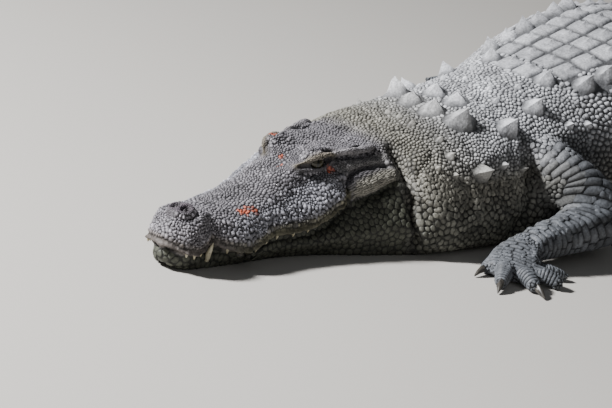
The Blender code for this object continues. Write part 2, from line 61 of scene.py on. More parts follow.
# how the middle line bends: degrees, and the stations between which each bend is made
HEAD_TURN = 9.5
HEAD_BEND = (0.92, 1.16)
NECK_TURN = 4.0
NECK_BEND = (0.96, 1.2)
NECK_RETURN = (1.3, 1.6)
TRUNK_TURN = 10.0
TRUNK_BEND = (1.7, 2.6)
TAIL_SWING = 26.0
TAIL_BEND = (3.3, 4.9)
TAIL_RETURN = (5.0, 7.0)
TAIL_CURL = 1.6  # how far the tail swings back, as a share of its swing out


# ---- places on the body


def smooth_step(value, low, high):
    """0 below low, 1 above high, and a soft rise between."""
    t = np.clip((np.asarray(value, float) - low) / (high - low), 0.0, 1.0)
    return t * t * (3 - 2 * t)


def unit(rows):
    """Each row of numbers brought to length 1."""
    return rows / np.linalg.norm(rows, axis=-1, keepdims=True)


def tree_of(spots):
    """The spots in a tree, each by its number."""
    tree = KDTree(len(spots))
    for n, spot in enumerate(spots):
        tree.insert(spot, n)
    tree.balance()
    return tree


def heading(a):
    """The direction of the body's middle line at station a, in radians from +X towards +Y."""
    head = HEAD_TURN * (1 - smooth_step(a, *HEAD_BEND))
    neck = NECK_TURN * smooth_step(a, *NECK_BEND) * (1 - smooth_step(a, *NECK_RETURN))
    trunk = TRUNK_TURN * smooth_step(a, *TRUNK_BEND)
    swing = TAIL_SWING * (smooth_step(a, *TAIL_BEND) - TAIL_CURL * smooth_step(a, *TAIL_RETURN))
    return np.radians(head - neck + trunk - swing)


def walk_axis():
    """The stations of the middle line, with the x and y of each in metres."""
    stations = np.arange(-0.2, TAIL_END + 0.2, AXIS_STEP)
    turns = heading(stations)
    x = np.concatenate([[0], np.cumsum(np.cos(turns[:-1]) * AXIS_STEP)])
    y = np.concatenate([[0], np.cumsum(np.sin(turns[:-1]) * AXIS_STEP)])
    x -= np.interp(TRUNK_MIDDLE, stations, x)
    y -= np.interp(TRUNK_MIDDLE, stations, y)
    return stations, x * HEAD, y * HEAD


STATIONS, AXIS_X, AXIS_Y = walk_axis()


def place(a, out, z):
    """Points on the body as an array of rows, in metres. Out is positive to the animal's right."""
    a, out, z = np.broadcast_arrays(*(np.asarray(v, float) for v in (a, out, z)))
    turn = heading(a)
    x = np.interp(a, STATIONS, AXIS_X) - out * HEAD * np.sin(turn)
    y = np.interp(a, STATIONS, AXIS_Y) + out * HEAD * np.cos(turn)
    return np.stack([x, y, z * HEAD], -1)


def limb_place(root, a, out, z):
    """The same, along a straight line through station root, as limbs don't bend with the body."""
    ahead = np.array([math.cos(heading(root)), math.sin(heading(root)), 0])
    return place(root, out, z) + (np.asarray(a, float) - root)[..., None] * ahead * HEAD


def body_coords(points):
    """Station, distance out and height of each row of points, in head lengths."""
    points = np.asarray(points, float)
    a = np.interp(points[:, 0], AXIS_X, STATIONS)
    for _ in range(6):
        turn = heading(a)
        dx = points[:, 0] - np.interp(a, STATIONS, AXIS_X)
        dy = points[:, 1] - np.interp(a, STATIONS, AXIS_Y)
        a = np.clip(a + (dx * np.cos(turn) + dy * np.sin(turn)) / HEAD, STATIONS[0], STATIONS[-1])
    return a, (-dx * np.sin(turn) + dy * np.cos(turn)) / HEAD, points[:, 2] / HEAD


# ---- the hide's own relief, on the head first. Lines run through (station, out, height).

EYE = (0.705, 0.084, 0.304)
EYE_RADIUS = 0.038
EYEBALL = 0.985  # the wet ball's share of the socket's radius
NARES = (0.080, 0.0, 0.203)
NOSTRIL = (0.078, 0.019)  # station and distance out
LIP = (
    (0.004, 0.020, 0.076), (0.020, 0.062, 0.069), (0.050, 0.090, 0.060), (0.085, 0.100, 0.056),
    (0.125, 0.100, 0.065), (0.160, 0.088, 0.084), (0.195, 0.104, 0.070), (0.240, 0.143, 0.058),
    (0.290, 0.163, 0.054), (0.350, 0.162, 0.064), (0.430, 0.158, 0.090), (0.530, 0.184, 0.093),
    (0.620, 0.198, 0.104), (0.700, 0.205, 0.130), (0.760, 0.211, 0.162), (0.790, 0.213, 0.183),
)
CORNER_SLIT = (  # from the corner of the mouth up over the swelling behind it, open to the rear
    (0.790, 0.213, 0.185), (0.784, 0.204, 0.218), (0.792, 0.186, 0.248), (0.834, 0.170, 0.274),
    (0.905, 0.174, 0.283), (0.960, 0.185, 0.285), (1.010, 0.200, 0.284),
)
CORNER_PAD = (
    (0.838, 0.215, 0.222), (0.900, 0.226, 0.240), (0.970, 0.236, 0.258), (1.030, 0.248, 0.266),
)
PAD_UNDERLINE = (
    (0.798, 0.215, 0.188), (0.859, 0.231, 0.196), (0.944, 0.250, 0.220), (1.022, 0.262, 0.254),
    (1.060, 0.260, 0.272),
)
CORNER_LOBE = ((0.812, 0.208, 0.196), (0.822, 0.204, 0.218), (0.836, 0.196, 0.240))
EAR_SLIT = (
    (0.772, 0.120, 0.316), (0.800, 0.126, 0.316), (0.852, 0.137, 0.317), (0.905, 0.145, 0.316),
    (0.953, 0.151, 0.317), (0.990, 0.153, 0.325), (1.000, 0.142, 0.338),
)
BROW_SLIT = ((0.850, 0.118, 0.338), (0.900, 0.112, 0.341), (0.960, 0.106, 0.343))
TEMPLE_RIDGE = (
    (0.800, 0.152, 0.292), (0.880, 0.162, 0.298), (0.960, 0.172, 0.303), (1.030, 0.180, 0.306),
)
LID_CREASE = (
    (0.630, 0.066, 0.306), (0.655, 0.078, 0.328), (0.690, 0.088, 0.343), (0.730, 0.094, 0.347),
    (0.765, 0.100, 0.343), (0.795, 0.112, 0.332),
)
UNDER_EYE_CREASE = (
    (0.632, 0.078, 0.274), (0.665, 0.108, 0.270), (0.710, 0.126, 0.272), (0.755, 0.130, 0.288),
)
TEAR_CREASE = ((0.585, 0.066, 0.268), (0.625, 0.076, 0.283))
CHEEK_CREASE = ((0.770, 0.196, 0.196), (0.770, 0.190, 0.235), (0.778, 0.178, 0.262))
EYE_SLIT = (
    (0.624, 0.072, 0.290), (0.655, 0.100, 0.301), (0.700, 0.118, 0.311), (0.745, 0.118, 0.319),
    (0.775, 0.117, 0.324),
)
# rolls of flesh that are part of the skin: each place has a radius after its station, out and height
UPPER_LID = (
    (0.622, 0.070, 0.297, 0.006), (0.650, 0.095, 0.316, 0.009), (0.680, 0.109, 0.329, 0.0105),
    (0.715, 0.115, 0.334, 0.011), (0.750, 0.117, 0.334, 0.011), (0.785, 0.119, 0.328, 0.008),
)
LOWER_LID = (
    (0.620, 0.074, 0.282, 0.006), (0.648, 0.101, 0.286, 0.008), (0.680, 0.119, 0.289, 0.009),
    (0.715, 0.125, 0.296, 0.009), (0.748, 0.124, 0.307, 0.009), (0.785, 0.121, 0.318, 0.006),
)
EYE_FILL = (
    (0.660, 0.084, 0.299, 0.020), (0.680, 0.083, 0.301, 0.027), (0.703, 0.081, 0.304, 0.031),
    (0.728, 0.083, 0.308, 0.027), (0.752, 0.090, 0.314, 0.021),
)
EAR_FLAP = (
    (0.790, 0.116, 0.334, 0.008), (0.850, 0.128, 0.338, 0.010), (0.905, 0.134, 0.335, 0.012),
    (0.930, 0.137, 0.333, 0.018), (0.975, 0.141, 0.336, 0.018), (0.990, 0.142, 0.337, 0.012),
)
CORNER_ROLL = (
    (0.814, 0.206, 0.208, 0.007), (0.850, 0.210, 0.224, 0.014), (0.890, 0.216, 0.236, 0.017),
    (0.950, 0.222, 0.251, 0.017), (1.000, 0.226, 0.265, 0.014), (1.040, 0.228, 0.276, 0.010),
)
LID_ROLLS = (UPPER_LID, LOWER_LID, EYE_FILL, EAR_FLAP, CORNER_ROLL)
JOWL_CREASE = (
    (1.072, 0.150, 0.345), (1.076, 0.200, 0.325), (1.072, 0.262, 0.270), (1.066, 0.309, 0.194),
    (1.062, 0.345, 0.119), (1.075, 0.362, 0.060), (1.100, 0.360, 0.010),
)
SHOULDER_CREASE = (
    (1.640, 0.315, 0.370), (1.645, 0.350, 0.300), (1.645, 0.385, 0.240), (1.640, 0.410, 0.170),
    (1.600, 0.420, 0.090), (1.540, 0.410, 0.030),
)
NOTCH_GROOVE = (
    (0.172, 0.090, 0.086), (0.170, 0.088, 0.120), (0.168, 0.074, 0.160), (0.176, 0.050, 0.182),
)
NOTCH_WIDTH = 0.012
HEAD_FOLDS = (  # line, width, height (below 0 for a groove) and whether it fades at its ends
    (EYE_SLIT, 0.0085, -0.016, True), (LID_CREASE, 0.0065, -0.011, True),
    (UNDER_EYE_CREASE, 0.008, -0.007, True), (TEAR_CREASE, 0.007, -0.007, True),
    (EAR_SLIT, 0.0085, -0.022, True), (BROW_SLIT, 0.008, -0.012, True),
    (TEMPLE_RIDGE, 0.016, 0.008, False), (CORNER_SLIT, 0.010, -0.026, False),
    (PAD_UNDERLINE, 0.011, -0.018, True), (CORNER_LOBE, 0.009, 0.010, False),
    (CHEEK_CREASE, 0.007, -0.006, True),
)
BODY_FOLDS = ((JOWL_CREASE, 0.024, -0.042), (SHOULDER_CREASE, 0.024, -0.044))  # line, width, height
MOUTH_END = 0.79  # station of the corner of the mouth
LIP_END = 0.80
SCALLOP = 0.042  # length of one scallop of the upper lip
LIP_PLEAT = 0.021  # distance between the lip's upright creases
HEAD_END = 1.075  # station where the head's scales give way to the neck's
NARES_TOP = (0.150, 0.180)  # heights over which the nostrils' disc sets in
NARES_DISC = (0.036, 0.050)  # distances over which it ends
NARES_RIM = 0.055
NARES_RISE = 0.010
NOSTRIL_RING = (0.008, 0.0045)  # radius of a nostril's crescent, and its width
NOSTRIL_STRETCH = 1.5
NOSTRIL_DEPTH = 0.016
LIP_SHAPES = (  # height over the lip's edge, width and rise
    (0.010, 0.009, 0.010),  # the scalloped bulge
    (0.018, 0.017, -0.0034),  # the pleats
    (-0.014, 0.012, -0.012),  # the hollow under the lip
)
LIP_GROOVE = (0.007, -0.020)  # width and rise
PLEAT_WANDER = 0.13


def line_distance(points, line):
    """How far each (station, out, height) row is from a line of such places, and how far along it."""
    line = np.asarray(line, float)
    lengths = np.linalg.norm(np.diff(line, axis=0), axis=1)
    starts = np.concatenate([[0], np.cumsum(lengths)])
    best = np.full(len(points), 9.0)
    along = np.zeros(len(points))
    for p, q, length, start in zip(line[:-1], line[1:], lengths, starts):
        t = np.clip(((points - p) @ (q - p)) / length ** 2, 0, 1)
        gap = np.linalg.norm(points - p - t[:, None] * (q - p), axis=1)
        nearer = gap < best
        best = np.where(nearer, gap, best)
        along = np.where(nearer, (start + t * length) / starts[-1], along)
    return best, along


def bell(distance, width):
    """1 at no distance, falling softly to nothing over a width or two."""
    return np.exp(-((distance / width) ** 2))


def off_line(points, line):
    """How far each row of points is from a line. A fourth number of the line's places is left out."""
    return line_distance(points, [p[:3] for p in line])[0]


def fold(points, line, width, height, tapered=True):
    """A ridge along a line, or a groove if its height is below 0. A tapered one fades at both ends."""
    gap, t = line_distance(points, line)
    ends = np.clip(np.minimum(t, 1 - t) * 8, 0, 1) if tapered else 1.0
    return height * bell(gap, width) * ends


def lattice_noise(points, scale, seed):
    """Smooth noise from -1 to 1: a few sine waves that cross at odd angles."""
    rng = np.random.default_rng(seed)
    total = np.zeros(len(points))
    for _ in range(7):
        way = rng.normal(size=3)
        way *= rng.uniform(0.7, 1.4) / np.linalg.norm(way) / scale
        total += np.sin(points @ way * 2 * math.pi + rng.uniform(0, 2 * math.pi))
    return total / 4.0


def line_height(line, a):
    """The height of a line at a station."""
    return np.interp(a, [p[0] for p in line], [p[2] for p in line])


def head_relief(points):
    """How far the head's skin stands out, in head lengths, for rows of (station, |out|, height)."""
    a, out, z = points.T
    rise = np.zeros(len(points))
    # the nostrils' raised disc, its rim and two crescents
    flat = np.hypot(a - NARES[0], out * 0.95)
    top = smooth_step(z, *NARES_TOP)
    disc = NARES_RISE * (1 - smooth_step(flat, *NARES_DISC))
    rise += top * (disc - NARES_RISE * bell(flat - NARES_RIM, NOSTRIL_RING[0]))
    hole = np.hypot((a - NOSTRIL[0]) / NOSTRIL_STRETCH, out - NOSTRIL[1])
    rise -= top * NOSTRIL_DEPTH * bell(hole - NOSTRIL_RING[0], NOSTRIL_RING[1])
    rise += fold(points, NOTCH_GROOVE, NOTCH_WIDTH, -NOTCH_WIDTH)
    # the upper lip hangs over the lower jaw in scallops, with upright creases
    above = z - line_height(LIP, a)
    front = a < LIP_END
    scallop = 0.5 + 0.5 * np.cos(2 * math.pi * a / SCALLOP)
    bulge, pleats, hollow = (front * height * bell(above - middle, width)
                             for middle, width, height in LIP_SHAPES)
    rise += bulge * (0.6 + 0.4 * scallop)
    rise += LIP_GROOVE[1] * bell(off_line(points, LIP), LIP_GROOVE[0])
    wander = 0.9 * np.sin(2 * math.pi * a / PLEAT_WANDER)
    rise += pleats * np.abs(np.cos(math.pi * a / LIP_PLEAT + wander)) ** 5
    rise += hollow * (z > 0.02)
    # eyelids, the ear's slit under its flap, and the corner of the mouth
    for line, width, height, tapered in HEAD_FOLDS:
        rise += fold(points, line, width, height, tapered)
    return rise


# ---- the hide


def new_object(name, mesh):
    """An object at the origin, in the scene."""
    obj = bpy.data.objects.new(name, mesh)
    bpy.context.scene.collection.objects.link(obj)
    return obj


def mesh_of(bm, name):
    """The bmesh as a mesh. The bmesh is freed."""
    mesh = bpy.data.meshes.new(name)
    bm.to_mesh(mesh)
    bm.free()
    return mesh


def cad_bmesh(name):
    """A CAD node's mesh with its doubled corners made one."""
    bm = bmesh.new()
    bm.from_mesh(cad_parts[name].data)
    bmesh.ops.remove_doubles(bm, verts=bm.verts, dist=1e-5)
    return bm


def rows_of(collection, kind, width, of_type=np.float32):
    """One value of every element of a mesh's collection, as rows of numbers."""
    values = np.empty(len(collection) * width, of_type)
    collection.foreach_get(kind, values)
    return values.reshape(-1, width)


def shaped(obj):
    """The object's mesh with its modifiers worked in, in place of its own."""
    mesh = bpy.data.meshes.new_from_object(obj.evaluated_get(bpy.context.evaluated_depsgraph_get()))
    obj.modifiers.clear()
    obj.data = mesh
    return mesh


FLESH = [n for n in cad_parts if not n.startswith(("eye", "claw"))]
OVERLAP = 0.001  # how much the lengths of flesh are swollen so that they run into each other
VOXEL = 0.0031
HIDE_TRIANGLES = 186000


SMOOTH_ROUNDS = {"head": 12, "body": 60}
TOES_OUT = (0.50, 0.60)  # distances out over which feet and hands begin
TOES_HEIGHT = 0.15
BODY_SMOOTHED = (1.02, 1.2)  # stations
REAR_COARSENED = ((1.0, 1.2), (1.75, 2.1))
BALL_STEP = 0.004  # between the balls of a roll, in head lengths


def joined_flesh():
    """One bmesh of all the flesh, each length a little swollen."""
    whole = bmesh.new()
    for name in FLESH:
        one = cad_bmesh(name)
        one.normal_update()
        for vert in one.verts:
            vert.co += vert.normal * OVERLAP
        mesh = mesh_of(one, name)
        whole.from_mesh(mesh)
        bpy.data.meshes.remove(mesh)
    for roll, side in product(LID_ROLLS, (-1, 1)):
        add_roll(whole, np.array(roll) * (1, side, 1, 1))
    return whole


def add_roll(bm, roll):
    """A soft roll of flesh: balls set close along a line, which the remesh runs into one."""
    spans = np.concatenate([[0], np.cumsum(np.linalg.norm(np.diff(roll[:, :3], axis=0), axis=1))])
    for t in np.arange(0, spans[-1] + BALL_STEP / 2, BALL_STEP):
        a, out, z, radius = (np.interp(t, spans, column) for column in roll.T)
        spot = Matrix.Translation(place(a, out, z).tolist())
        bmesh.ops.create_icosphere(bm, subdivisions=2, radius=radius * HEAD, matrix=spot)


def weigh(obj, name, weights, steps=20):
    """A vertex group with the weights rounded to so many steps."""
    group = obj.vertex_groups.new(name=name)
    levels = np.round(np.clip(weights, 0, 1) * steps).astype(int)
    for level in range(steps + 1):
        group.add(np.nonzero(levels == level)[0].tolist(), level / steps, "REPLACE")
    return group.name


def smooth(obj, name, weights):
    """Smooths the object where the weights say so, in the rounds set for that name."""
    modifier = obj.modifiers.new("smooth", "SMOOTH")
    modifier.factor = 0.5
    modifier.iterations = SMOOTH_ROUNDS[name]
    modifier.vertex_group = weigh(obj, name, weights)


def hide_base():
    """The joined flesh as one smooth closed skin, fine on the head and coarse towards the tail."""
    obj = new_object("hide", mesh_of(joined_flesh(), "hide"))
    remesh = obj.modifiers.new("one_skin", "REMESH")
    remesh.mode = "VOXEL"
    remesh.voxel_size = VOXEL
    mesh = shaped(obj)
    a, out, z = body_coords(rows_of(mesh.vertices, "co", 3))
    out = np.abs(out)
    toes = smooth_step(out, *TOES_OUT) * (z < TOES_HEIGHT)
    body = smooth_step(a, *BODY_SMOOTHED) * (1 - 0.75 * toes)
    fine = bell(off_line(np.stack([a, out, z], -1), EYE_SLIT), 0.05)
    smooth(obj, "head", (1 - body) * (1 - 0.7 * toes) * (1 - 0.8 * fine))
    smooth(obj, "body", body)
    neck, trunk = (smooth_step(a, *span) for span in REAR_COARSENED)
    rear = neck * 0.35 + 0.65 * trunk
    thin = obj.modifiers.new("coarser", "DECIMATE")
    thin.vertex_group = weigh(obj, "rear", rear)
    thin.ratio = HIDE_TRIANGLES / (2 * len(mesh.polygons))
    shaped(obj)
    obj.vertex_groups.clear()
    return obj


COAT_DEPTH = 0.006  # on the body, beyond the head's
HEAD_COAT_DEPTH = 0.002
COAT_SETS_IN = (1.05, 1.3)  # stations
LIMB_COAT_OUT = (0.40, 0.60)
HIPS_END = 3.9
FLOOR_FADE = (0.0, 0.12)  # heights over which the coat's depth sets in


def coat_depth(a, out, z):
    """How far the bare skin lies inside the tips of the scales, in metres."""
    body = smooth_step(a, *COAT_SETS_IN)
    limbs = smooth_step(np.abs(out), *LIMB_COAT_OUT) * (a < HIPS_END)
    return HEAD_COAT_DEPTH + COAT_DEPTH * body * (1 - 0.6 * limbs) * smooth_step(z, *FLOOR_FADE)


LUMP_HEIGHT = 0.0022  # of the head's uneven skin, metres
WRINKLE_DEPTH = 0.0050  # of the neck's rings, metres
LUMPS_END = (1.02, 1.12)  # stations
WRINKLED = ((1.06, 1.14), (1.62, 1.75))  # stations over which the rings set in and end
RESTING = (0.0, 0.03)  # heights over which the relief sets in, as what rests on the floor is flat


def sculpt_hide(obj):
    """Sinks the skin by the coat's depth and works the head's relief and the neck's folds into it."""
    mesh = obj.data
    points = rows_of(mesh.vertices, "co", 3)
    normals = rows_of(mesh.vertices, "normal", 3)
    a, out, z = body_coords(points)
    mirrored = np.stack([a, np.abs(out), z], -1)
    on_head = 1 - smooth_step(a, *LUMPS_END)
    free = smooth_step(z, *RESTING)
    rise = -coat_depth(a, out, z)
    rise += head_relief(mirrored) * HEAD
    for line, width, height in BODY_FOLDS:
        rise += fold(mirrored, line, width, height) * HEAD
    calm = 1 - bell(off_line(mirrored, EYE_SLIT), 0.05)
    lumps = lattice_noise(points, 0.045, 6)
    rise += LUMP_HEIGHT * lumps * on_head * calm * smooth_step(z, 0.12, 0.16)
    start, end = WRINKLED
    wrinkled = smooth_step(a, *start) * (1 - smooth_step(a, *end)) * smooth_step(z, 0.05, 0.15)
    rings = np.abs(np.sin(34 * a + 2.2 * lattice_noise(points, 0.16, 7))) ** 6
    rise -= WRINKLE_DEPTH * rings * wrinkled
    points += normals * (rise * free)[:, None]
    points[:, 2] = np.maximum(points[:, 2], 0.0)
    mesh.vertices.foreach_set("co", points.ravel())
    mesh.update()
    mesh.shade_smooth()


# ---- finishes


SHADER_SOCKETS = {
    "roughness": "Roughness", "specular": "Specular IOR Level", "coat": "Coat Weight",
    "coat_roughness": "Coat Roughness", "colour": "Base Color",
}


def finish(name, **settings):
    """A material with its shader's sockets set, its node tree and its shader."""
    made = bpy.data.materials.new(name)
    made.use_nodes = True
    shader = made.node_tree.nodes["Principled BSDF"]
    for socket, value in settings.items():
        shader.inputs[SHADER_SOCKETS[socket]].default_value = value
    return made, made.node_tree, shader


def add_node(tree, kind, settings, feeds):
    """A shader node with some sockets set and others fed from another node's output."""
    node = tree.nodes.new("ShaderNode" + kind)
    for socket, value in settings.items():
        node.inputs[socket].default_value = value
    for socket, source in feeds.items():
        tree.links.new(source, node.inputs[socket])
    return node


def object_place(tree):
    """The place on the piece, in metres."""
    return tree.nodes.new("ShaderNodeTexCoord").outputs["Object"]


def marking_colour(tree):
    """The colour painted on the piece."""
    colour = tree.nodes.new("ShaderNodeAttribute")
    colour.attribute_name = "marking_and_shading"
    return colour.outputs["Color"]


def bump(tree, level, strength, height, below=None):
    """The normal of a bump so many metres high, on top of another."""
    made = add_node(tree, "Bump", {"Strength": strength, "Distance": height}, {"Height": level})
    if below is not None:
        tree.links.new(below, made.inputs["Normal"])
    return made.outputs["Normal"]


def noise(tree, size, detail, where):
    """The level of a noise of so many metres."""
    made = add_node(tree, "TexNoise", {"Scale": 1 / size, "Detail": detail}, {"Vector": where})
    return made.outputs["Fac"]


BLOTCHES = ((0.030, 0.76, 1.22), (0.0045, 0.66, 1.30))  # size in metres, darkest and palest
BLOTCH_RANGE = {"From Min": 0.3, "From Max": 0.7}
BLOTCH_DETAIL = 3
STREAK_DETAIL = 5
STREAK_STRETCH = (1, 1, 0.25)
STREAK_STOPS = (0.35, 0.70)
STREAK_BUMP = (0.3, 0.0006)  # strength, height in metres
LUMPS = (0.013, 0.7, 0.0030)  # size in metres, strength, height in metres
FINE_GRAIN = (0.0028, 0.4, 0.0008)
CRACK_STRENGTH = 0.7
GRAIN_DETAIL = 4


def mottled(tree, shader):
    """The base colour: the piece's colours with their painted shade and light, made uneven by two sizes of
    blotch.
    """
    under = marking_colour(tree)
    where = object_place(tree)
    for size, low, high in BLOTCHES:
        level = noise(tree, size, BLOTCH_DETAIL, where)
        span = {**BLOTCH_RANGE, "To Min": low, "To Max": high}
        spread = add_node(tree, "MapRange", span, {"Value": level})
        scaled = tree.nodes.new("ShaderNodeVectorMath")
        scaled.operation = "SCALE"
        tree.links.new(under, scaled.inputs[0])
        tree.links.new(spread.outputs["Result"], scaled.inputs["Scale"])
        under = scaled.outputs["Vector"]
    tree.links.new(under, shader.inputs["Base Color"])


def hide_finish(name, roughness, cell=0, cell_height=0):
    """Dry skin: cracks between cells of so many metres, with a fine grain over them."""
    made, tree, shader = finish(name, roughness=roughness, specular=0.4)
    mottled(tree, shader)
    where = object_place(tree)
    below = bump(tree, noise(tree, LUMPS[0], GRAIN_DETAIL, where), *LUMPS[1:])
    if cell:
        cells = add_node(tree, "TexVoronoi", {"Scale": 1 / cell}, {"Vector": where})
        cells.feature = "DISTANCE_TO_EDGE"
        below = bump(tree, cells.outputs["Distance"], CRACK_STRENGTH, cell_height, below)
    below = bump(tree, noise(tree, FINE_GRAIN[0], GRAIN_DETAIL, where), *FINE_GRAIN[1:], below)
    tree.links.new(below, shader.inputs["Normal"])
    return made


def horn_finish(name, dark, pale, roughness, length):
    """Horn, ivory or the like, streaked along the piece's rise."""
    made, tree, shader = finish(name, roughness=roughness, specular=0.5)
    where = object_place(tree)
    stretched = add_node(tree, "Mapping", {"Scale": STREAK_STRETCH}, {"Vector": where})
    streak = noise(tree, length, STREAK_DETAIL, stretched.outputs["Vector"])
    ramp = add_node(tree, "ValToRGB", {}, {"Fac": streak})
    for stop, position, colour in zip(ramp.color_ramp.elements, STREAK_STOPS, (dark, pale)):
        stop.position = position
        stop.color = (*colour, 1)
    tree.links.new(ramp.outputs["Color"], shader.inputs["Base Color"])
    below = bump(tree, noise(tree, length, GRAIN_DETAIL, where), *STREAK_BUMP)
    tree.links.new(below, shader.inputs["Normal"])
    return made


def eye_finish():
    """A wet gloss over the eye's own colours."""
    made, tree, shader = finish("wet_eye", roughness=0.16, specular=0.35, coat=0.35, coat_roughness=0.06)
    tree.links.new(marking_colour(tree), shader.inputs["Base Color"])
    return made


# ---- the hide's colours and markings, with painted shade and light. Colours are linear red, green and blue.


def mixed(low, high, share):
    """Rows of colour between low and high, by each row's share of high."""
    return np.asarray(low) * (1 - share[:, None]) + np.asarray(high) * share[:, None]


NECK_COLOUR = (0.175, 0.167, 0.143)
REAR_COLOUR = (0.140, 0.142, 0.138)
HEAD_COLOUR = (0.140, 0.133, 0.146)
BACK_COLOUR = (0.400, 0.406, 0.430)
LIMB_COLOUR = (0.102, 0.109, 0.122)
BELLY_COLOUR = (0.100, 0.100, 0.082)
# painted shade: the jaw's and jowls' dark olive, made darker to stand for the shade under the head
SHADED_JAW_COLOUR = (0.055, 0.057, 0.043)
PAD_COLOUR = (0.265, 0.250, 0.210)
CHEEK_COLOUR = (0.190, 0.190, 0.215)
# painted shade: the lip's olive band, made darker to stand for the shade under the lip's overhang, darkest at
# the front
SHADED_LIP_COLOUR = (0.105, 0.098, 0.058)
SHADED_FRONT_LIP_COLOUR = (0.075, 0.062, 0.052)
LID_COLOUR = (0.260, 0.225, 0.170)
# painted light: the ear flaps' and temple ridges' pale grey, made paler to stand for light on skin that faces
# away from the key lamp
LIT_FLAP_COLOUR = (0.370, 0.350, 0.365)
LIT_TEMPLE_COLOUR = (0.340, 0.325, 0.320)
NARES_COLOUR = (0.100, 0.082, 0.098)
# painted shade: black in the nostrils' openings
NOSTRIL_SHADE_COLOUR = (0.010, 0.008, 0.009)
STAIN_COLOUR = (0.420, 0.085, 0.035)
STAINS = (  # small rust-red patches on the head: station, out and height, then size
    (0.318, -0.075, 0.165, 0.022), (0.345, -0.080, 0.168, 0.020), (0.375, -0.092, 0.165, 0.026),
    (0.402, -0.115, 0.135, 0.016), (0.406, -0.122, 0.118, 0.014), (0.745, -0.135, 0.288, 0.018),
    (0.560, 0.020, 0.235, 0.013), (0.610, -0.012, 0.262, 0.018), (0.650, 0.010, 0.285, 0.018),
    (0.480, -0.060, 0.200, 0.012), (0.530, -0.045, 0.222, 0.012), (0.700, 0.090, 0.345, 0.016),
)
SHADED_FOLDS = (  # lines whose creases and slits get painted shade, with how far the painted shade reaches
    (EYE_SLIT, 0.010), (EAR_SLIT, 0.0055), (BROW_SLIT, 0.0035), (CORNER_SLIT, 0.010),
    (PAD_UNDERLINE, 0.009), (LIP, 0.006), (JOWL_CREASE, 0.022), (SHOULDER_CREASE, 0.022),
)
FOLD_SHADE = 0.80  # how much darker the painted shade makes a fold at its middle
STRONG = 0.85  # share of a small region's own colour in the mix
# stations, distances out or heights over which a region sets in or ends
HEAD_FADE = (1.0, 1.14)
REAR_FADE = (1.8, 3.2)
BACK_EDGE = (0.64, 0.90)  # shares of the back's height
BACK_START = (1.15, 1.6)
BACK_FADE = (3.6, 5.4)
LOW_EDGE = (0.08, 0.24)
LIMB_OUT = (0.36, 0.54)
LIMB_END = (3.8, 3.9)
UPPER_ARM_OUT = (0.29, 0.37)
UPPER_ARM = (1.86, 0.17)  # middle and width
JAW_EDGE = (-0.010, 0.004)
JOWL_EDGE = (-0.012, 0.004)
PAD_EDGE = (0.02, 0.05)
CHEEK_START = (0.16, 0.34)
CHEEK_END = (0.74, 0.84)
CHEEK_OUT = (0.07, 0.13)
CHEEK_LOW = (0.03, 0.06)
CHEEK_TOP = (0.24, 0.29)
LIP_EDGE = (-0.004, 0.004)
LIP_TOP = (0.032, 0.050)
LIP_REAR = (0.15, 0.30)
DISC_EDGE = (0.035, 0.050)
HOLE = (0.084, 0.021, 0.010)  # station, distance out and radius of a nostril's painted shade
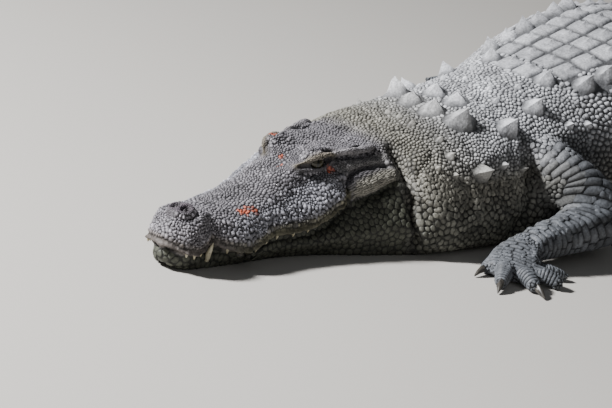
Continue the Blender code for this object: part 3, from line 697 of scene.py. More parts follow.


def marking_and_shading(points):
    """The hide's own colour for rows of points in metres, with painted shade in its folds, on jaw, jowls and
    lips and in the nostrils, and painted light on the ear flaps and temples.
    """
    a, out, z = body_coords(points)
    far = np.abs(out)
    mirrored = np.stack([a, far, z], -1)
    head = 1 - smooth_step(a, *HEAD_FADE)
    share = z / (2 * np.interp(a, *zip(*MIDDLE_HEIGHT)))  # of the height of the back there
    back = smooth_step(share, *BACK_EDGE) * smooth_step(a, *BACK_START)
    back = back * (1 - 0.7 * smooth_step(a, *BACK_FADE))
    low = 1 - smooth_step(z, *LOW_EDGE)
    limb = smooth_step(far, *LIMB_OUT) * (1 - smooth_step(a, *LIMB_END))
    limb = np.maximum(limb, smooth_step(far, *UPPER_ARM_OUT) * bell(a - UPPER_ARM[0], UPPER_ARM[1]))
    above = z - line_height(LIP, a)
    jaw = head * (1 - smooth_step(above, *JAW_EDGE)) * (a < MOUTH_END)
    pad = head * (a >= MOUTH_END) * (1 - smooth_step(off_line(mirrored, CORNER_PAD), *PAD_EDGE))
    under = line_height(PAD_UNDERLINE, a)
    jowl = head * (a >= MOUTH_END) * (1 - smooth_step(z - under, *JOWL_EDGE))
    cheek = head * smooth_step(a, *CHEEK_START) * (1 - smooth_step(a, *CHEEK_END))
    cheek = cheek * smooth_step(far, *CHEEK_OUT)
    cheek *= smooth_step(above, *CHEEK_LOW) * (1 - smooth_step(z, *CHEEK_TOP))
    lip = head * (a < LIP_END) * smooth_step(above, *LIP_EDGE) * (1 - smooth_step(above, *LIP_TOP))
    lip_rear = smooth_step(a, *LIP_REAR)
    disc = np.hypot(a - NARES[0], out)
    nares = smooth_step(z, *NARES_TOP) * (1 - smooth_step(disc, *DISC_EDGE))
    hole = np.hypot((a - HOLE[0]) / NOSTRIL_STRETCH, far - HOLE[1])
    colour = mixed(NECK_COLOUR, REAR_COLOUR, smooth_step(a, *REAR_FADE))
    colour = colour * (1 - head)[:, None] + np.array(HEAD_COLOUR) * head[:, None]
    # painted shade on the jaw, jowls, lips and nostrils, and painted light on the ear flaps and temples, are
    # mixed in with the own colours here
    for other, amount in (
            (BACK_COLOUR, back),
            (LIMB_COLOUR, limb),
            (BELLY_COLOUR, low * (1 - limb) * (1 - head)),
            (SHADED_JAW_COLOUR, np.maximum(jaw, jowl)),
            (PAD_COLOUR, pad * (1 - jowl) * STRONG),
            (CHEEK_COLOUR, cheek),
            (SHADED_LIP_COLOUR, lip * lip_rear * STRONG),
            (SHADED_FRONT_LIP_COLOUR, lip * (1 - lip_rear) * STRONG),
            (LID_COLOUR, bell(off_line(mirrored, UPPER_LID), 0.013) * 0.9),
            (LIT_FLAP_COLOUR, bell(off_line(mirrored, EAR_FLAP), 0.014) * STRONG),
            (LIT_TEMPLE_COLOUR, bell(off_line(mirrored, TEMPLE_RIDGE), 0.022) * 0.8),
            (NARES_COLOUR, nares * STRONG),
            (NOSTRIL_SHADE_COLOUR, nares * bell(hole, HOLE[2]))):
        colour = mixed(colour, other, amount)
    shade = 1 + 0.16 * lattice_noise(points, 0.09, 1) + 0.10 * lattice_noise(points, 0.025, 2)
    colour = colour * shade[:, None]
    # painted shade: the skin is darkened along each crease and slit, where shade falls
    for line, width in SHADED_FOLDS:
        colour = colour * (1 - FOLD_SHADE * bell(off_line(mirrored, line), width))[:, None]
    here = np.stack([a, out, z], -1)
    ragged = 1 + 0.35 * lattice_noise(points, 0.012, 4)
    for *spot, size in STAINS:
        gap = np.linalg.norm(here - spot, axis=1) * ragged
        colour = mixed(colour, STAIN_COLOUR, (1 - smooth_step(gap, size * 0.6, size)) * 0.9)
    return np.clip(colour, 0.008, 0.8)


def paint(obj, colours):
    """Stores a colour for each point, own colour and painted shade and light together, as the attribute that
    the materials read.
    """
    layer = obj.data.color_attributes.new("marking_and_shading", "FLOAT_COLOR", "POINT")
    rows = np.hstack([colours, np.ones((len(colours), 1))])
    layer.data.foreach_set("color", rows.astype(np.float32).ravel())


# ---- charts: the hide round a line, found by how far along it and how far round it a place is

BODY_NODES = ("head", "lower_jaw", "neck", "chest", "belly", *(f"tail_{n}" for n in range(1, 6)))
LIMBS = {  # root station, side, nodes, then the middle lines of the three lengths and of the digits
    "arm_left": (1.8, -1, ("upper_arm_left", "forearm_left", "hand_left"), (
        ((1.73, 0.27, 0.330), (1.78, 0.37, 0.270), (1.80, 0.44, 0.200), (1.78, 0.49, 0.150)),
        ((1.78, 0.49, 0.150), (1.70, 0.525, 0.125), (1.58, 0.548, 0.102), (1.45, 0.545, 0.080)),
        ((1.49, 0.545, 0.084), (1.42, 0.55, 0.070), (1.355, 0.575, 0.052), (1.29, 0.61, 0.038),
         (1.25, 0.63, 0.034))), (
        ((1.33, 0.530), (1.215, 0.550), 0.031), ((1.28, 0.600), (1.155, 0.680), 0.034),
        ((1.29, 0.655), (1.265, 0.755), 0.034), ((1.35, 0.670), (1.405, 0.760), 0.032),
        ((1.41, 0.635), (1.510, 0.700), 0.026))),
    "arm_right": (1.8, 1, ("upper_arm_right", "forearm_right", "hand_right"), (
        ((1.76, 0.14, 0.28), (1.84, 0.30, 0.25), (1.96, 0.43, 0.19), (2.08, 0.56, 0.130)),
        ((2.05, 0.535, 0.12), (2.10, 0.57, 0.122), (2.24, 0.65, 0.106), (2.40, 0.715, 0.083),
         (2.53, 0.75, 0.066)),
        ((2.49, 0.74, 0.070), (2.56, 0.76, 0.060), (2.63, 0.78, 0.048), (2.70, 0.805, 0.038),
         (2.74, 0.815, 0.034))), (
        ((2.68, 0.750), (2.80, 0.770), 0.031), ((2.71, 0.795), (2.86, 0.850), 0.034),
        ((2.70, 0.840), (2.81, 0.930), 0.034), ((2.65, 0.865), (2.72, 0.970), 0.032),
        ((2.60, 0.845), (2.63, 0.935), 0.026))),
}
LEG_LINES = (
    ((3.56, 0.16, 0.34), (3.46, 0.34, 0.29), (3.30, 0.52, 0.23), (3.19, 0.65, 0.17)),
    ((3.16, 0.635, 0.155), (3.23, 0.645, 0.16), (3.38, 0.685, 0.145), (3.55, 0.725, 0.105),
     (3.66, 0.75, 0.070)),
    ((3.69, 0.745, 0.055), (3.60, 0.765, 0.052), (3.46, 0.80, 0.044), (3.32, 0.845, 0.036),
     (3.20, 0.885, 0.026)),
)
TOE_LINES = (
    ((3.30, 0.765), (3.055, 0.740), 0.030), ((3.28, 0.820), (2.960, 0.850), 0.034),
    ((3.28, 0.880), (2.960, 0.970), 0.034), ((3.31, 0.935), (3.060, 1.080), 0.028),
)
HIP_STATION = 3.5
RIGHT_LEG_BACK = 0.09  # how much further back the right leg's lower lengths lie


def slid(line, back, first):
    """A line with its places from the first one on moved back along the body."""
    return tuple((p[0] + (back if n >= first else 0), *p[1:]) for n, p in enumerate(line))


def add_leg(tag, side, back):
    nodes = tuple(f"{length}_{tag}" for length in ("thigh", "shank", "foot"))
    lines = tuple(slid(line, back, 0 if n else 2) for n, line in enumerate(LEG_LINES))
    toes = tuple((*slid((base, tip), back, 0), thick) for base, tip, thick in TOE_LINES)
    LIMBS["leg_" + tag] = (HIP_STATION, side, nodes, lines, toes)


add_leg("left", -1, 0.0)
add_leg("right", 1, RIGHT_LEG_BACK)


def limb_line(limb, line):
    """A line of a limb's own places as rows of points in metres."""
    root, side = LIMBS[limb][:2]
    return limb_place(root, *(np.array(line).T * [[1], [side], [1]]))


def flesh_tree():
    """All the CAD flesh in one tree, with the name of the node that each of its faces belongs to."""
    points, faces, owners = [], [], []
    for name in FLESH:
        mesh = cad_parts[name].data
        faces += [[len(points) + i for i in face.vertices] for face in mesh.polygons]
        points += [v.co.copy() for v in mesh.vertices]
        owners += [name] * len(mesh.polygons)
    return BVHTree.FromPolygons(points, faces), owners


def evenly(line, step, rounds=4):
    """A line of points cut into even steps, smoothed at its corners."""
    line = np.asarray(line, float)
    t = np.concatenate([[0], np.cumsum(np.linalg.norm(np.diff(line, axis=0), axis=1))])
    count = max(int(round(t[-1] / step)), 2) + 1
    dense = np.stack([np.interp(np.linspace(0, t[-1], count), t, line[:, k]) for k in range(3)], -1)
    for _ in range(rounds):
        dense[1:-1] = 0.25 * dense[:-2] + 0.5 * dense[1:-1] + 0.25 * dense[2:]
    return dense


NEAR_FLESH = 0.03  # how far from a node's own solid the hide still counts as the node's, metres
FACING = 0.1  # least cosine between the hide's normal and the way out from the line
RUN_AHEAD = 0.3  # least step along the hide for a step along the line, or its rows are crowding


class Chart:
    """The hide round a line of centres. A place on it is a distance along and an angle from the top."""

    def __init__(self, line, nodes, reach, step, turns=72, outside=0.0):
        self.line = line
        self.step = step
        self.angles = np.linspace(-math.pi, math.pi, turns + 1)
        ahead = unit(np.gradient(line, axis=0))
        side = unit(np.cross(ahead, (0, 0, 1)))
        up = np.cross(side, ahead)
        shape = (len(line), len(self.angles))
        self.points = np.zeros((*shape, 3))
        self.normals = np.zeros((*shape, 3))
        self.ok = np.zeros(shape)
        for i, centre in enumerate(line):
            for j, angle in enumerate(self.angles):
                way = up[i] * math.cos(angle) - side[i] * math.sin(angle)
                hit, normal, _, _ = HIDE_TREE.ray_cast(Vector(centre), Vector(way), reach)
                if hit is None:
                    self.points[i, j] = centre + way * reach
                    self.normals[i, j] = way
                    continue
                _, _, owner, off = FLESH_TREE.find_nearest(hit)
                self.points[i, j] = hit
                self.normals[i, j] = normal
                mine = FLESH_OWNERS[owner] in nodes
                if FLESH_OWNERS[owner] in BODY_NODES and mine and outside:
                    mine = abs(body_coords([hit])[1][0]) > outside
                self.ok[i, j] = mine and off < NEAR_FLESH and normal.dot(Vector(way)) > FACING
        run = ((self.points[2:] - self.points[:-2]) * ahead[1:-1, None]).sum(2) / (2 * step)
        self.ok[1:-1] *= run > RUN_AHEAD
        for _ in range(2):
            self.normals[1:-1, 1:-1] += 0.5 * (self.normals[:-2, 1:-1] + self.normals[2:, 1:-1]
                                               + self.normals[1:-1, :-2] + self.normals[1:-1, 2:])
            self.normals = unit(self.normals)
        run = np.linalg.norm(np.diff(self.points, axis=1), axis=2)
        self.round = np.concatenate([np.zeros((len(line), 1)), np.cumsum(run, axis=1)], 1)
        self.round -= self.round[:, [turns // 2]]

    def length(self):
        """How far the line runs, in metres."""
        return (len(self.line) - 1) * self.step

    def angle_at(self, u, distances):
        """The angles at which places lie so far round from the top, at one distance along."""
        row = self.round[int(np.clip(round(u / self.step), 0, len(self.line) - 1))]
        return np.interp(distances, row, self.angles)

    def per_angle(self, u, angles):
        """How many metres round the hide one radian is there."""
        i = np.clip(np.round(np.asarray(u) / self.step).astype(int), 0, len(self.line) - 1)
        turn = self.angles[1] - self.angles[0]
        j = np.clip(((angles - self.angles[0]) / turn).astype(int), 0, len(self.angles) - 2)
        return np.maximum((self.round[i, j + 1] - self.round[i, j]) / turn, 1e-4)

    def surface(self, u, angles):
        """Points, normals and whether the hide there belongs to the chart's own nodes."""
        x = np.clip(u / self.step, 0, len(self.line) - 1.001)
        turn = self.angles[1] - self.angles[0]
        y = np.clip((angles - self.angles[0]) / turn, 0, len(self.angles) - 1.001)
        i, j = x.astype(int), y.astype(int)
        fx, fy = (x - i)[..., None], (y - j)[..., None]

        def blend(grid):
            return ((grid[i, j] * (1 - fy) + grid[i, j + 1] * fy) * (1 - fx)
                    + (grid[i + 1, j] * (1 - fy) + grid[i + 1, j + 1] * fy) * fx)

        return blend(self.points), blend(self.normals), blend(self.ok[..., None])[..., 0]


# ---- the unwrap that hide and scales share: the body in one sheet, then the limbs, hands and feet

SHEET_BODY = 0.60  # share of the sheet's height for the body
SHEET_HEAD = 0.30  # share of its width for the head
SHEET_LIMB = 0.18  # share of its height for a limb's upper lengths
PALM_BASE = 0.905
HAND_BASE = 0.81
HAND_HEIGHT = 0.085
LIMBS_END = 0.80  # height on the sheet above which the hands and feet lie
GAP = 0.01
SHEET_STATIONS = (-0.05, 1.1, 7.35)
SHEET_MIDDLE = ((0, 1.0, 2.7, 4.0, 7.3), (0.09, 0.17, 0.26, 0.18, 0.012))  # stations, heights


def limb_words(nodes):
    """The names of a limb's three lengths without their side, and that side."""
    return tuple(node.rsplit("_", 1)[0] for node in nodes), nodes[0].rsplit("_", 1)[1]


def unwrap(points, owners, normals):
    """Where each point lies on the unwrap, given the CAD node that its patch of hide belongs to."""
    uv = np.zeros((len(points), 2))
    a, out, z = body_coords(points)
    angle = np.arctan2(out, z - np.interp(a, *SHEET_MIDDLE)) / (2 * math.pi) + 0.5
    uv[:, 0] = GAP + (1 - 2 * GAP) * np.interp(a, SHEET_STATIONS, (0, SHEET_HEAD, 1))
    uv[:, 1] = GAP + (SHEET_BODY - 2 * GAP) * angle
    for n, (limb, (_, side, nodes, lines, _)) in enumerate(LIMBS.items()):
        names, tag = limb_words(nodes)
        left = n / 4 + GAP
        wide = 1 / 4 - 2 * GAP
        arms = np.isin(owners, nodes[:2])
        if arms.any():
            line = np.vstack([limb_line(limb, part) for part in lines[:2]])
            _, t = line_distance(points[arms], line)
            nearest = np.stack([np.interp(t, np.linspace(0, 1, len(line)), line[:, k]) for k in range(3)], -1)
            off = points[arms] - nearest
            turn = np.arctan2(off[:, 1] * side, off[:, 2]) / (2 * math.pi) + 0.5
            uv[arms, 0] = left + wide * t
            uv[arms, 1] = SHEET_BODY + GAP + SHEET_LIMB * turn
        hand = owners == nodes[2]
        if hand.any():
            low, high = (np.array(c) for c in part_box(f"{names[2]}_{tag}"))
            spot = (points[hand] - low)[:, :2] / (high - low)[:2]
            uv[hand, 0] = left + wide * spot[:, 0]
            uv[hand, 1] = np.where(normals[hand, 2] > 0, HAND_BASE, PALM_BASE) + HAND_HEIGHT * spot[:, 1]
    return uv


def owners_of(points):
    """The CAD node nearest to each point."""
    return np.array([FLESH_OWNERS[FLESH_TREE.find_nearest(Vector(p))[2]] for p in points])


def corners_of(mesh):
    """The point at each corner of each face, by number."""
    return rows_of(mesh.loops, "vertex_index", 1, np.int32)[:, 0]


def add_map(mesh, uv):
    """The map OFBake, with a place for each corner of each face."""
    layer = mesh.uv_layers.new(name="OFBake")
    layer.data.foreach_set("uv", uv.astype(np.float32).ravel())


def unwrap_hide(obj):
    """The hide's own map, one side of the sheet's seams or the other for each whole face."""
    mesh = obj.data
    totals = rows_of(mesh.polygons, "loop_total", 1, np.int32)[:, 0]
    centres = rows_of(mesh.polygons, "center", 3)
    face_of = np.repeat(np.arange(len(totals)), totals)
    owners = owners_of(centres)
    normals = rows_of(mesh.polygons, "normal", 3)
    points = rows_of(mesh.vertices, "co", 3)[corners_of(mesh)]
    uv = unwrap(points, owners[face_of], normals[face_of])
    middle = unwrap(centres, owners, normals)[face_of]
    body = np.isin(owners, BODY_NODES)[face_of]
    limbs = ~body & (middle[:, 1] < LIMBS_END)
    for mask, height in ((body, SHEET_BODY - 2 * GAP), (limbs, SHEET_LIMB)):
        turn = np.where(mask, np.round((uv[:, 1] - middle[:, 1]) / height), 0)
        uv[:, 1] -= turn * height
    add_map(mesh, uv)


# ---- scales: one small closed shape each, laid on the hide and joined by the hundred or thousand


BURIED = -0.25  # how deep a scale's underside lies, as a share of its height


def scale_shape(cells, profile, rim=1.0):
    """A scale from a grid of cells: its top by a profile of (along, across), closed below."""
    bm = bmesh.new()
    bmesh.ops.create_grid(bm, x_segments=cells, y_segments=cells, size=1)
    skirt = bmesh.ops.extrude_edge_only(bm, edges=[e for e in bm.edges if e.is_boundary])
    low = [g for g in skirt["geom"] if isinstance(g, bmesh.types.BMVert)]
    for vert in bm.verts:
        x, y = vert.co.x, vert.co.y
        reach = max(abs(x), abs(y), 1e-6)
        round_off = 1 - rim * (1 - reach / math.hypot(x, y)) if math.hypot(x, y) > 1e-6 else 1
        vert.co.x, vert.co.y = x * round_off, y * round_off
        vert.co.z = profile(x, y)
    for vert in low:
        vert.co.z = BURIED
    bmesh.ops.holes_fill(bm, edges=[e for e in bm.edges if e.is_boundary], sides=0)
    bmesh.ops.recalc_face_normals(bm, faces=bm.faces)
    return taken(bm)


def taken(bm):
    """The shape's points and faces as plain lists, for laying out in numbers."""
    bm.verts.index_update()
    shape = np.array([v.co for v in bm.verts]), [[v.index for v in f.verts] for f in bm.faces]
    bm.free()
    return shape


def keel_profile(x, y):
    """A plate with a keel along its middle that rises towards the rear."""
    edge = 1 - max(abs(x), abs(y)) ** 4
    keel = max(0.0, 1 - abs(y) * 1.9) ** 1.2 * max(0.0, 1 - ((x - 0.35) / 1.15) ** 2)
    return 0.22 * edge + 0.7 * keel * (1 - abs(x) ** 6)


def flat_topped(x, y):
    """A pillow, a little lower at its edges."""
    return 0.55 + 0.45 * (1 - max(abs(x), abs(y)) ** 3)


PATCH = 0.003  # size of a scale on the unwrap
COVERED = 0.30  # how far round each of its points a laid scale covers the skin, by its half size


class Coat:
    """Scales gathered for one piece, with painted shade darkening their rims and a painted highlight paling
    their tips.
    """

    laid = []  # places that the scales of all coats cover, each with its reach

    def __init__(self, name, rim=0.50, tip=1.30, scatter=0.2, rise=1.0):
        self.name = name
        # rim and tip: the painted shade at a scale's foot and the painted highlight at its top, as shares of
        # its colour
        self.rim = rim
        self.tip = tip
        self.scatter = scatter  # how much one scale's shade differs from the next's
        self.rise = rise  # how soon above its rim a scale climbs from its painted shade to its full painted highlight
        self.points, self.faces, self.colours, self.uvs = [], [], [], []
        self.count = 0

    def lay(self, chart, shape, u, angle, half_long, half_wide, height, turn=0.0, tint=1.0):
        """Lays one shape at many places of a chart. Sizes are in metres; turn is in radians."""
        u, angle = np.atleast_1d(u).astype(float), np.atleast_1d(angle).astype(float)
        if not len(u):
            return
        full = [np.broadcast_to(np.asarray(v, float), u.shape)[:, None]
                for v in (half_long, half_wide, height, turn, tint)]
        half_long, half_wide, height, turn, tint = full
        form, faces = shape
        x, y = form[None, :, 0] * half_long, form[None, :, 1] * half_wide
        x, y = x * np.cos(turn) - y * np.sin(turn), x * np.sin(turn) + y * np.cos(turn)
        off = angle[:, None] + y / chart.per_angle(u, angle)[:, None]
        spots, normals, ok = chart.surface(u[:, None] + x, off)
        keep = ok.min(1) > 0.98
        if not keep.any():
            return
        points = (spots + normals * (form[None, :, 2] * height)[..., None])[keep]
        points[..., 2] = np.maximum(points[..., 2], 0.0)
        self.add(points, faces, spots[keep].mean(1), form, tint[keep], normals[keep].mean(1))
        upper = spots[keep][:, form[:, 2] > 0]
        reach = np.repeat(np.maximum(half_long, half_wide)[keep, 0] * COVERED, upper.shape[1])
        Coat.laid.append(np.hstack([upper.reshape(-1, 3), reach[:, None]]))

    def add(self, points, faces, roots, form, tint, normals):
        """Takes in copies of a shape whose places are worked out: one row of points each."""
        colour = marking_and_shading(roots)
        # painted shade at the rim, rising to a painted highlight at the tip, by each point's height in the
        # shape
        level = np.clip(form[:, 2] * self.rise, 0, 1)[None, :, None]
        shade = (self.rim + (self.tip * tint[:, :, None] - self.rim) * level)
        self.colours.append((colour[:, None, :] * shade).reshape(-1, 3))
        uv = unwrap(roots, owners_of(roots), normals)[:, None, :] + form[None, :, :2] * PATCH / 2
        self.uvs.append(uv.reshape(-1, 2))
        size = points.shape[1]
        starts = self.count + size * np.arange(len(points))
        self.faces += [[int(s) + i for i in face] for s in starts for face in faces]
        self.points.append(points.reshape(-1, 3))
        self.count += size * len(points)

    def make(self, sharp=50):
        """The finished piece, riding on the body."""
        mesh = bpy.data.meshes.new(self.name)
        mesh.from_pydata(np.vstack(self.points), [], self.faces)
        mesh.shade_smooth()
        mesh.set_sharp_from_angle(angle=math.radians(sharp))
        obj = new_object(self.name, mesh)
        paint(obj, np.clip(np.vstack(self.colours), 0.004, 0.9))
        add_map(mesh, np.vstack(self.uvs)[corners_of(mesh)])
        mesh.materials.append(SCALE_FINISH)
        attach(obj, "root")


# ---- cells: scales that fit close against their neighbours, as cracks part a skin


SIDES = 7  # of a cell
CELL_TOP = 0.86  # a cell's radius at its shoulder, as a share of its foot's
CELL_INSET = 0.36  # from the shoulder in to the ring
CELL_FOOT = -0.35
NEAREST = 15  # places looked at round a cell, itself among them


def cell_shape(ring, shoulder):
    """A many-sided scale: walls up to a shoulder, in to a ring of its own height, then a low tip."""
    bm = bmesh.new()
    bmesh.ops.create_cone(bm, cap_ends=True, segments=SIDES, radius1=1.0, radius2=CELL_TOP, depth=1.0)
    top = [f for f in bm.faces if f.normal.z > 0.9]
    bmesh.ops.inset_region(bm, faces=top, thickness=CELL_INSET)
    poked = bmesh.ops.poke(bm, faces=top)
    for vert in bm.verts:
        outer = math.hypot(vert.co.x, vert.co.y) > (CELL_TOP + CELL_TOP - CELL_INSET) / 2
        vert.co.z = CELL_FOOT if vert.co.z < 0 else (shoulder if outer else ring)
    for vert in poked["verts"]:
        vert.co.z = 1.0
    return taken(bm)


KNOB = cell_shape(ring=0.88, shoulder=0.42)
PLATE = cell_shape(ring=0.96, shoulder=0.72)
POINT = cell_shape(ring=0.58, shoulder=0.24)
TRIES = 16  # places tried for each place that fits


class Skin:
    """The hide's surface in triangles, with the place and the owner of each."""

    def __init__(self, obj):
        mesh = obj.data
        mesh.calc_loop_triangles()
        self.points = rows_of(mesh.vertices, "co", 3)
        self.normals = rows_of(mesh.vertices, "normal", 3)
        self.corners = rows_of(mesh.loop_triangles, "vertices", 3, np.int32)
        trio = self.points[self.corners]
        self.centres = trio.mean(1)
        self.up = self.normals[self.corners].mean(1)[:, 2]
        self.areas = np.linalg.norm(np.cross(trio[:, 1] - trio[:, 0], trio[:, 2] - trio[:, 0]), axis=1) / 2
        self.owners = owners_of(self.centres)
        self.a, self.side, self.z = body_coords(self.centres)
        self.out = np.abs(self.side)
        self.mirrored = np.stack([self.a, self.out, self.z], -1)
        self.off_floor = (self.z > 0.006) & (self.up > -0.8)

    def spread(self, where, spacing, pull):
        """Places on the chosen triangles, none nearer to another than the spacing there."""
        spacing = np.broadcast_to(np.asarray(spacing, float), self.areas.shape)
        chance = np.where(where, self.areas / spacing ** 2, 0)
        picked = RNG.choice(len(chance), int(chance.sum() * TRIES), p=chance / chance.sum())
        share = -np.log(RNG.random((len(picked), 3)))
        share = (share / share.sum(1)[:, None])[..., None]
        spots = (self.points[self.corners[picked]] * share).sum(1)
        normals = (self.normals[self.corners[picked]] * share).sum(1)
        gaps = spacing[picked]
        size = gaps.max()
        pulled = spots @ pull
        grid = {}
        chosen = []
        for n, (spot, cell, gap) in enumerate(
                zip(pulled.tolist(), np.floor(pulled / size).astype(int).tolist(), gaps.tolist())):
            near = product(*((c - 1, c, c + 1) for c in cell))
            if all(math.dist(spot, other) >= gap for key in near for other in grid.get(key, ())):
                grid.setdefault(tuple(cell), []).append(spot)
                chosen.append(n)
        return spots[chosen], unit(normals[chosen]), gaps[chosen]


def pull_along(way, stretch):
    """A matrix that shortens distances along a way, so that cells come out longer along it."""
    way = unit(np.asarray(way, float))
    return np.eye(3) - np.outer(way, way) * (1 - 1 / stretch)


def cell_reach(spots, along, across, angles, limit):
    """How far each cell reaches at each angle before it meets its neighbours'."""
    tree = tree_of(spots)
    near = np.array([[hit[1] for hit in tree.find_n(spot, NEAREST)[1:]] for spot in spots])
    gap = spots[near] - spots[:, None]
    x, y = (gap * along[:, None]).sum(2), (gap * across[:, None]).sum(2)
    toward = x[:, None] * np.cos(angles)[..., None] + y[:, None] * np.sin(angles)[..., None]
    with np.errstate(divide="ignore"):
        reach = np.where(toward > 1e-9, (x * x + y * y)[:, None] / (2 * toward), np.inf).min(2)
    return np.minimum(reach, limit[:, None])


ACROSS_WAY = (0.31, 0.95, 0.02)  # a direction that no patch of hide faces exactly


def lay_cells(coat, shape, where, spacing, height, fit=(0.94, 1.05), way=None, stretch=1.0):
    """Fills chosen triangles of the hide with close-set scales, longer along a way if one is given."""
    pull = pull_along(way, stretch) if way is not None else np.eye(3)
    roots, normals, gaps = SKIN.spread(where & SKIN.off_floor, spacing, pull)
    form, faces = shape
    rim = np.hypot(form[:, 0], form[:, 1])
    first = math.atan2(form[0, 1], form[0, 0])
    slot = np.round((np.arctan2(form[:, 1], form[:, 0]) - first) * SIDES / (2 * math.pi)).astype(int) % SIDES
    flat = unit(normals @ np.linalg.inv(pull).T)
    along = unit(np.cross(flat, ACROSS_WAY))
    across = np.cross(flat, along)
    turn = RNG.uniform(0, 2 * math.pi, len(roots))
    angles = turn[:, None] + 2 * math.pi * np.arange(SIDES) / SIDES
    reach = cell_reach(roots @ pull, along, across, angles, gaps * fit[1]) * fit[0]
    far = reach[:, slot] * rim
    offset = (far * np.cos(angles[:, slot]))[..., None] * along[:, None]
    offset += (far * np.sin(angles[:, slot]))[..., None] * across[:, None]
    tall = height * RNG.uniform(0.75, 1.25, len(roots))
    points = roots[:, None] + offset @ np.linalg.inv(pull)
    points += normals[:, None] * (form[:, 2] * tall[:, None])[..., None]
    points[..., 2] = np.maximum(points[..., 2], 0.0)
    tint = 1 + coat.scatter * RNG.uniform(-1, 1, (len(roots), 1))
    coat.add(points, faces, roots, form, tint, normals)
    Coat.laid.append(np.hstack([roots, reach.mean(1)[:, None]]))


# ---- the coat, region by region. Lengths here are in head lengths.

FIRST_ROW = 1.93  # station of the first full row of back scutes
ROWS_END = 4.05
ROW_PITCH = 0.118
ROW_REACH = ((1.9, 2.1, 2.8, 3.5, 4.1), (0.18, 0.25, 0.37, 0.28, 0.15))  # stations, half widths
SCUTE_WIDTH = ((1.9, 2.8, 3.6, 4.1), (0.088, 0.100, 0.088, 0.072))  # stations, widths
KEEL_HEIGHTS = (0.023, 0.025, 0.038)  # next to the middle line, the next one out, the outermost
OUTER_RISE = 1.4  # how much higher the outermost scutes stand
BOSS_RISE = 1.3
BOSS_TINT = 1.30
BODY_START = 0.98
CHART_STEP = 0.02
BODY_REACH = 0.6  # how far from the middle line the hide is looked for, metres
BOSSES = (  # station, out, half length, half width, height
    (1.405, 0.054, 0.062, 0.050, 0.032), (1.440, 0.162, 0.072, 0.056, 0.050),
    (1.525, 0.050, 0.060, 0.048, 0.030), (1.606, 0.239, 0.058, 0.045, 0.046),
    (1.780, 0.213, 0.056, 0.042, 0.040), (1.408, 0.336, 0.048, 0.038, 0.044),
    (1.304, 0.211, 0.020, 0.018, 0.018), (1.299, 0.278, 0.022, 0.020, 0.020),
    (1.287, 0.326, 0.020, 0.018, 0.016), (1.218, 0.303, 0.018, 0.016, 0.014),
    (1.516, 0.325, 0.024, 0.020, 0.022), (1.613, 0.327, 0.026, 0.021, 0.024),
    (1.271, 0.098, 0.022, 0.018, 0.015), (1.270, 0.030, 0.020, 0.017, 0.012),
    (1.886, 0.304, 0.026, 0.020, 0.020), (1.966, 0.323, 0.024, 0.019, 0.018),
    (1.660, 0.130, 0.022, 0.018, 0.015), (1.700, 0.060, 0.020, 0.017, 0.013),
    (1.800, 0.110, 0.024, 0.019, 0.016), (1.590, 0.130, 0.019, 0.016, 0.013),
)


def body_chart():
    """The hide of neck, trunk and tail round the body's middle line."""
    stations = np.arange(BODY_START, TAIL_END - CHART_STEP, CHART_STEP)
    heights = np.interp(stations, *zip(*MIDDLE_HEIGHT))
    return Chart(place(stations, 0, heights), BODY_NODES, BODY_REACH, CHART_STEP * HEAD)


def along(a):
    """How far along the body's chart a station lies, in metres."""
    return (np.asarray(a) - BODY_START) * HEAD


def angle_at_out(chart, a, out):
    """The angle at which a place on the body's upper side lies so far out to the right."""
    row = chart.points[int(round(float(along(a)) / chart.step))]
    upper = np.abs(chart.angles) < 1.5
    return np.interp(out, body_coords(row[upper])[1], chart.angles[upper])


def boss_profile(x, y):
    """A broad pyramid: a long front slope up to a short ridge, and a steep rear."""
    climb = np.interp(x, (-1, -0.5, 0.0, 0.25, 0.5, 1), (0, 0.40, 0.86, 1, 0.46, 0))
    return 1.02 * climb * max(0.0, 1 - abs(y)) ** 0.85 * (1 - 0.3 * max(0.0, abs(y) - 0.6)) - 0.02


def scute_profile(x, y):
    """A flat plate with a short keel on its rear half, which drops off steeply."""
    climb = np.interp(x, (-1, -0.2, 0.2, 0.4, 0.6, 0.8, 1), (0, 0.05, 0.50, 0.82, 1, 0.14, 0))
    plate = 1 - max(abs(x), abs(y)) ** 8
    return 0.40 * plate + 0.60 * climb * max(0.0, 1 - abs(y) * 3.4)


def crest_profile(x, y):
    """A thin upright flag that leans to the rear."""
    climb = np.interp(x, (-1, -0.7, 0.55, 0.85, 1), (0, 0.10, 1, 0.75, 0))
    return climb * max(0.0, 1 - abs(y)) ** 0.5


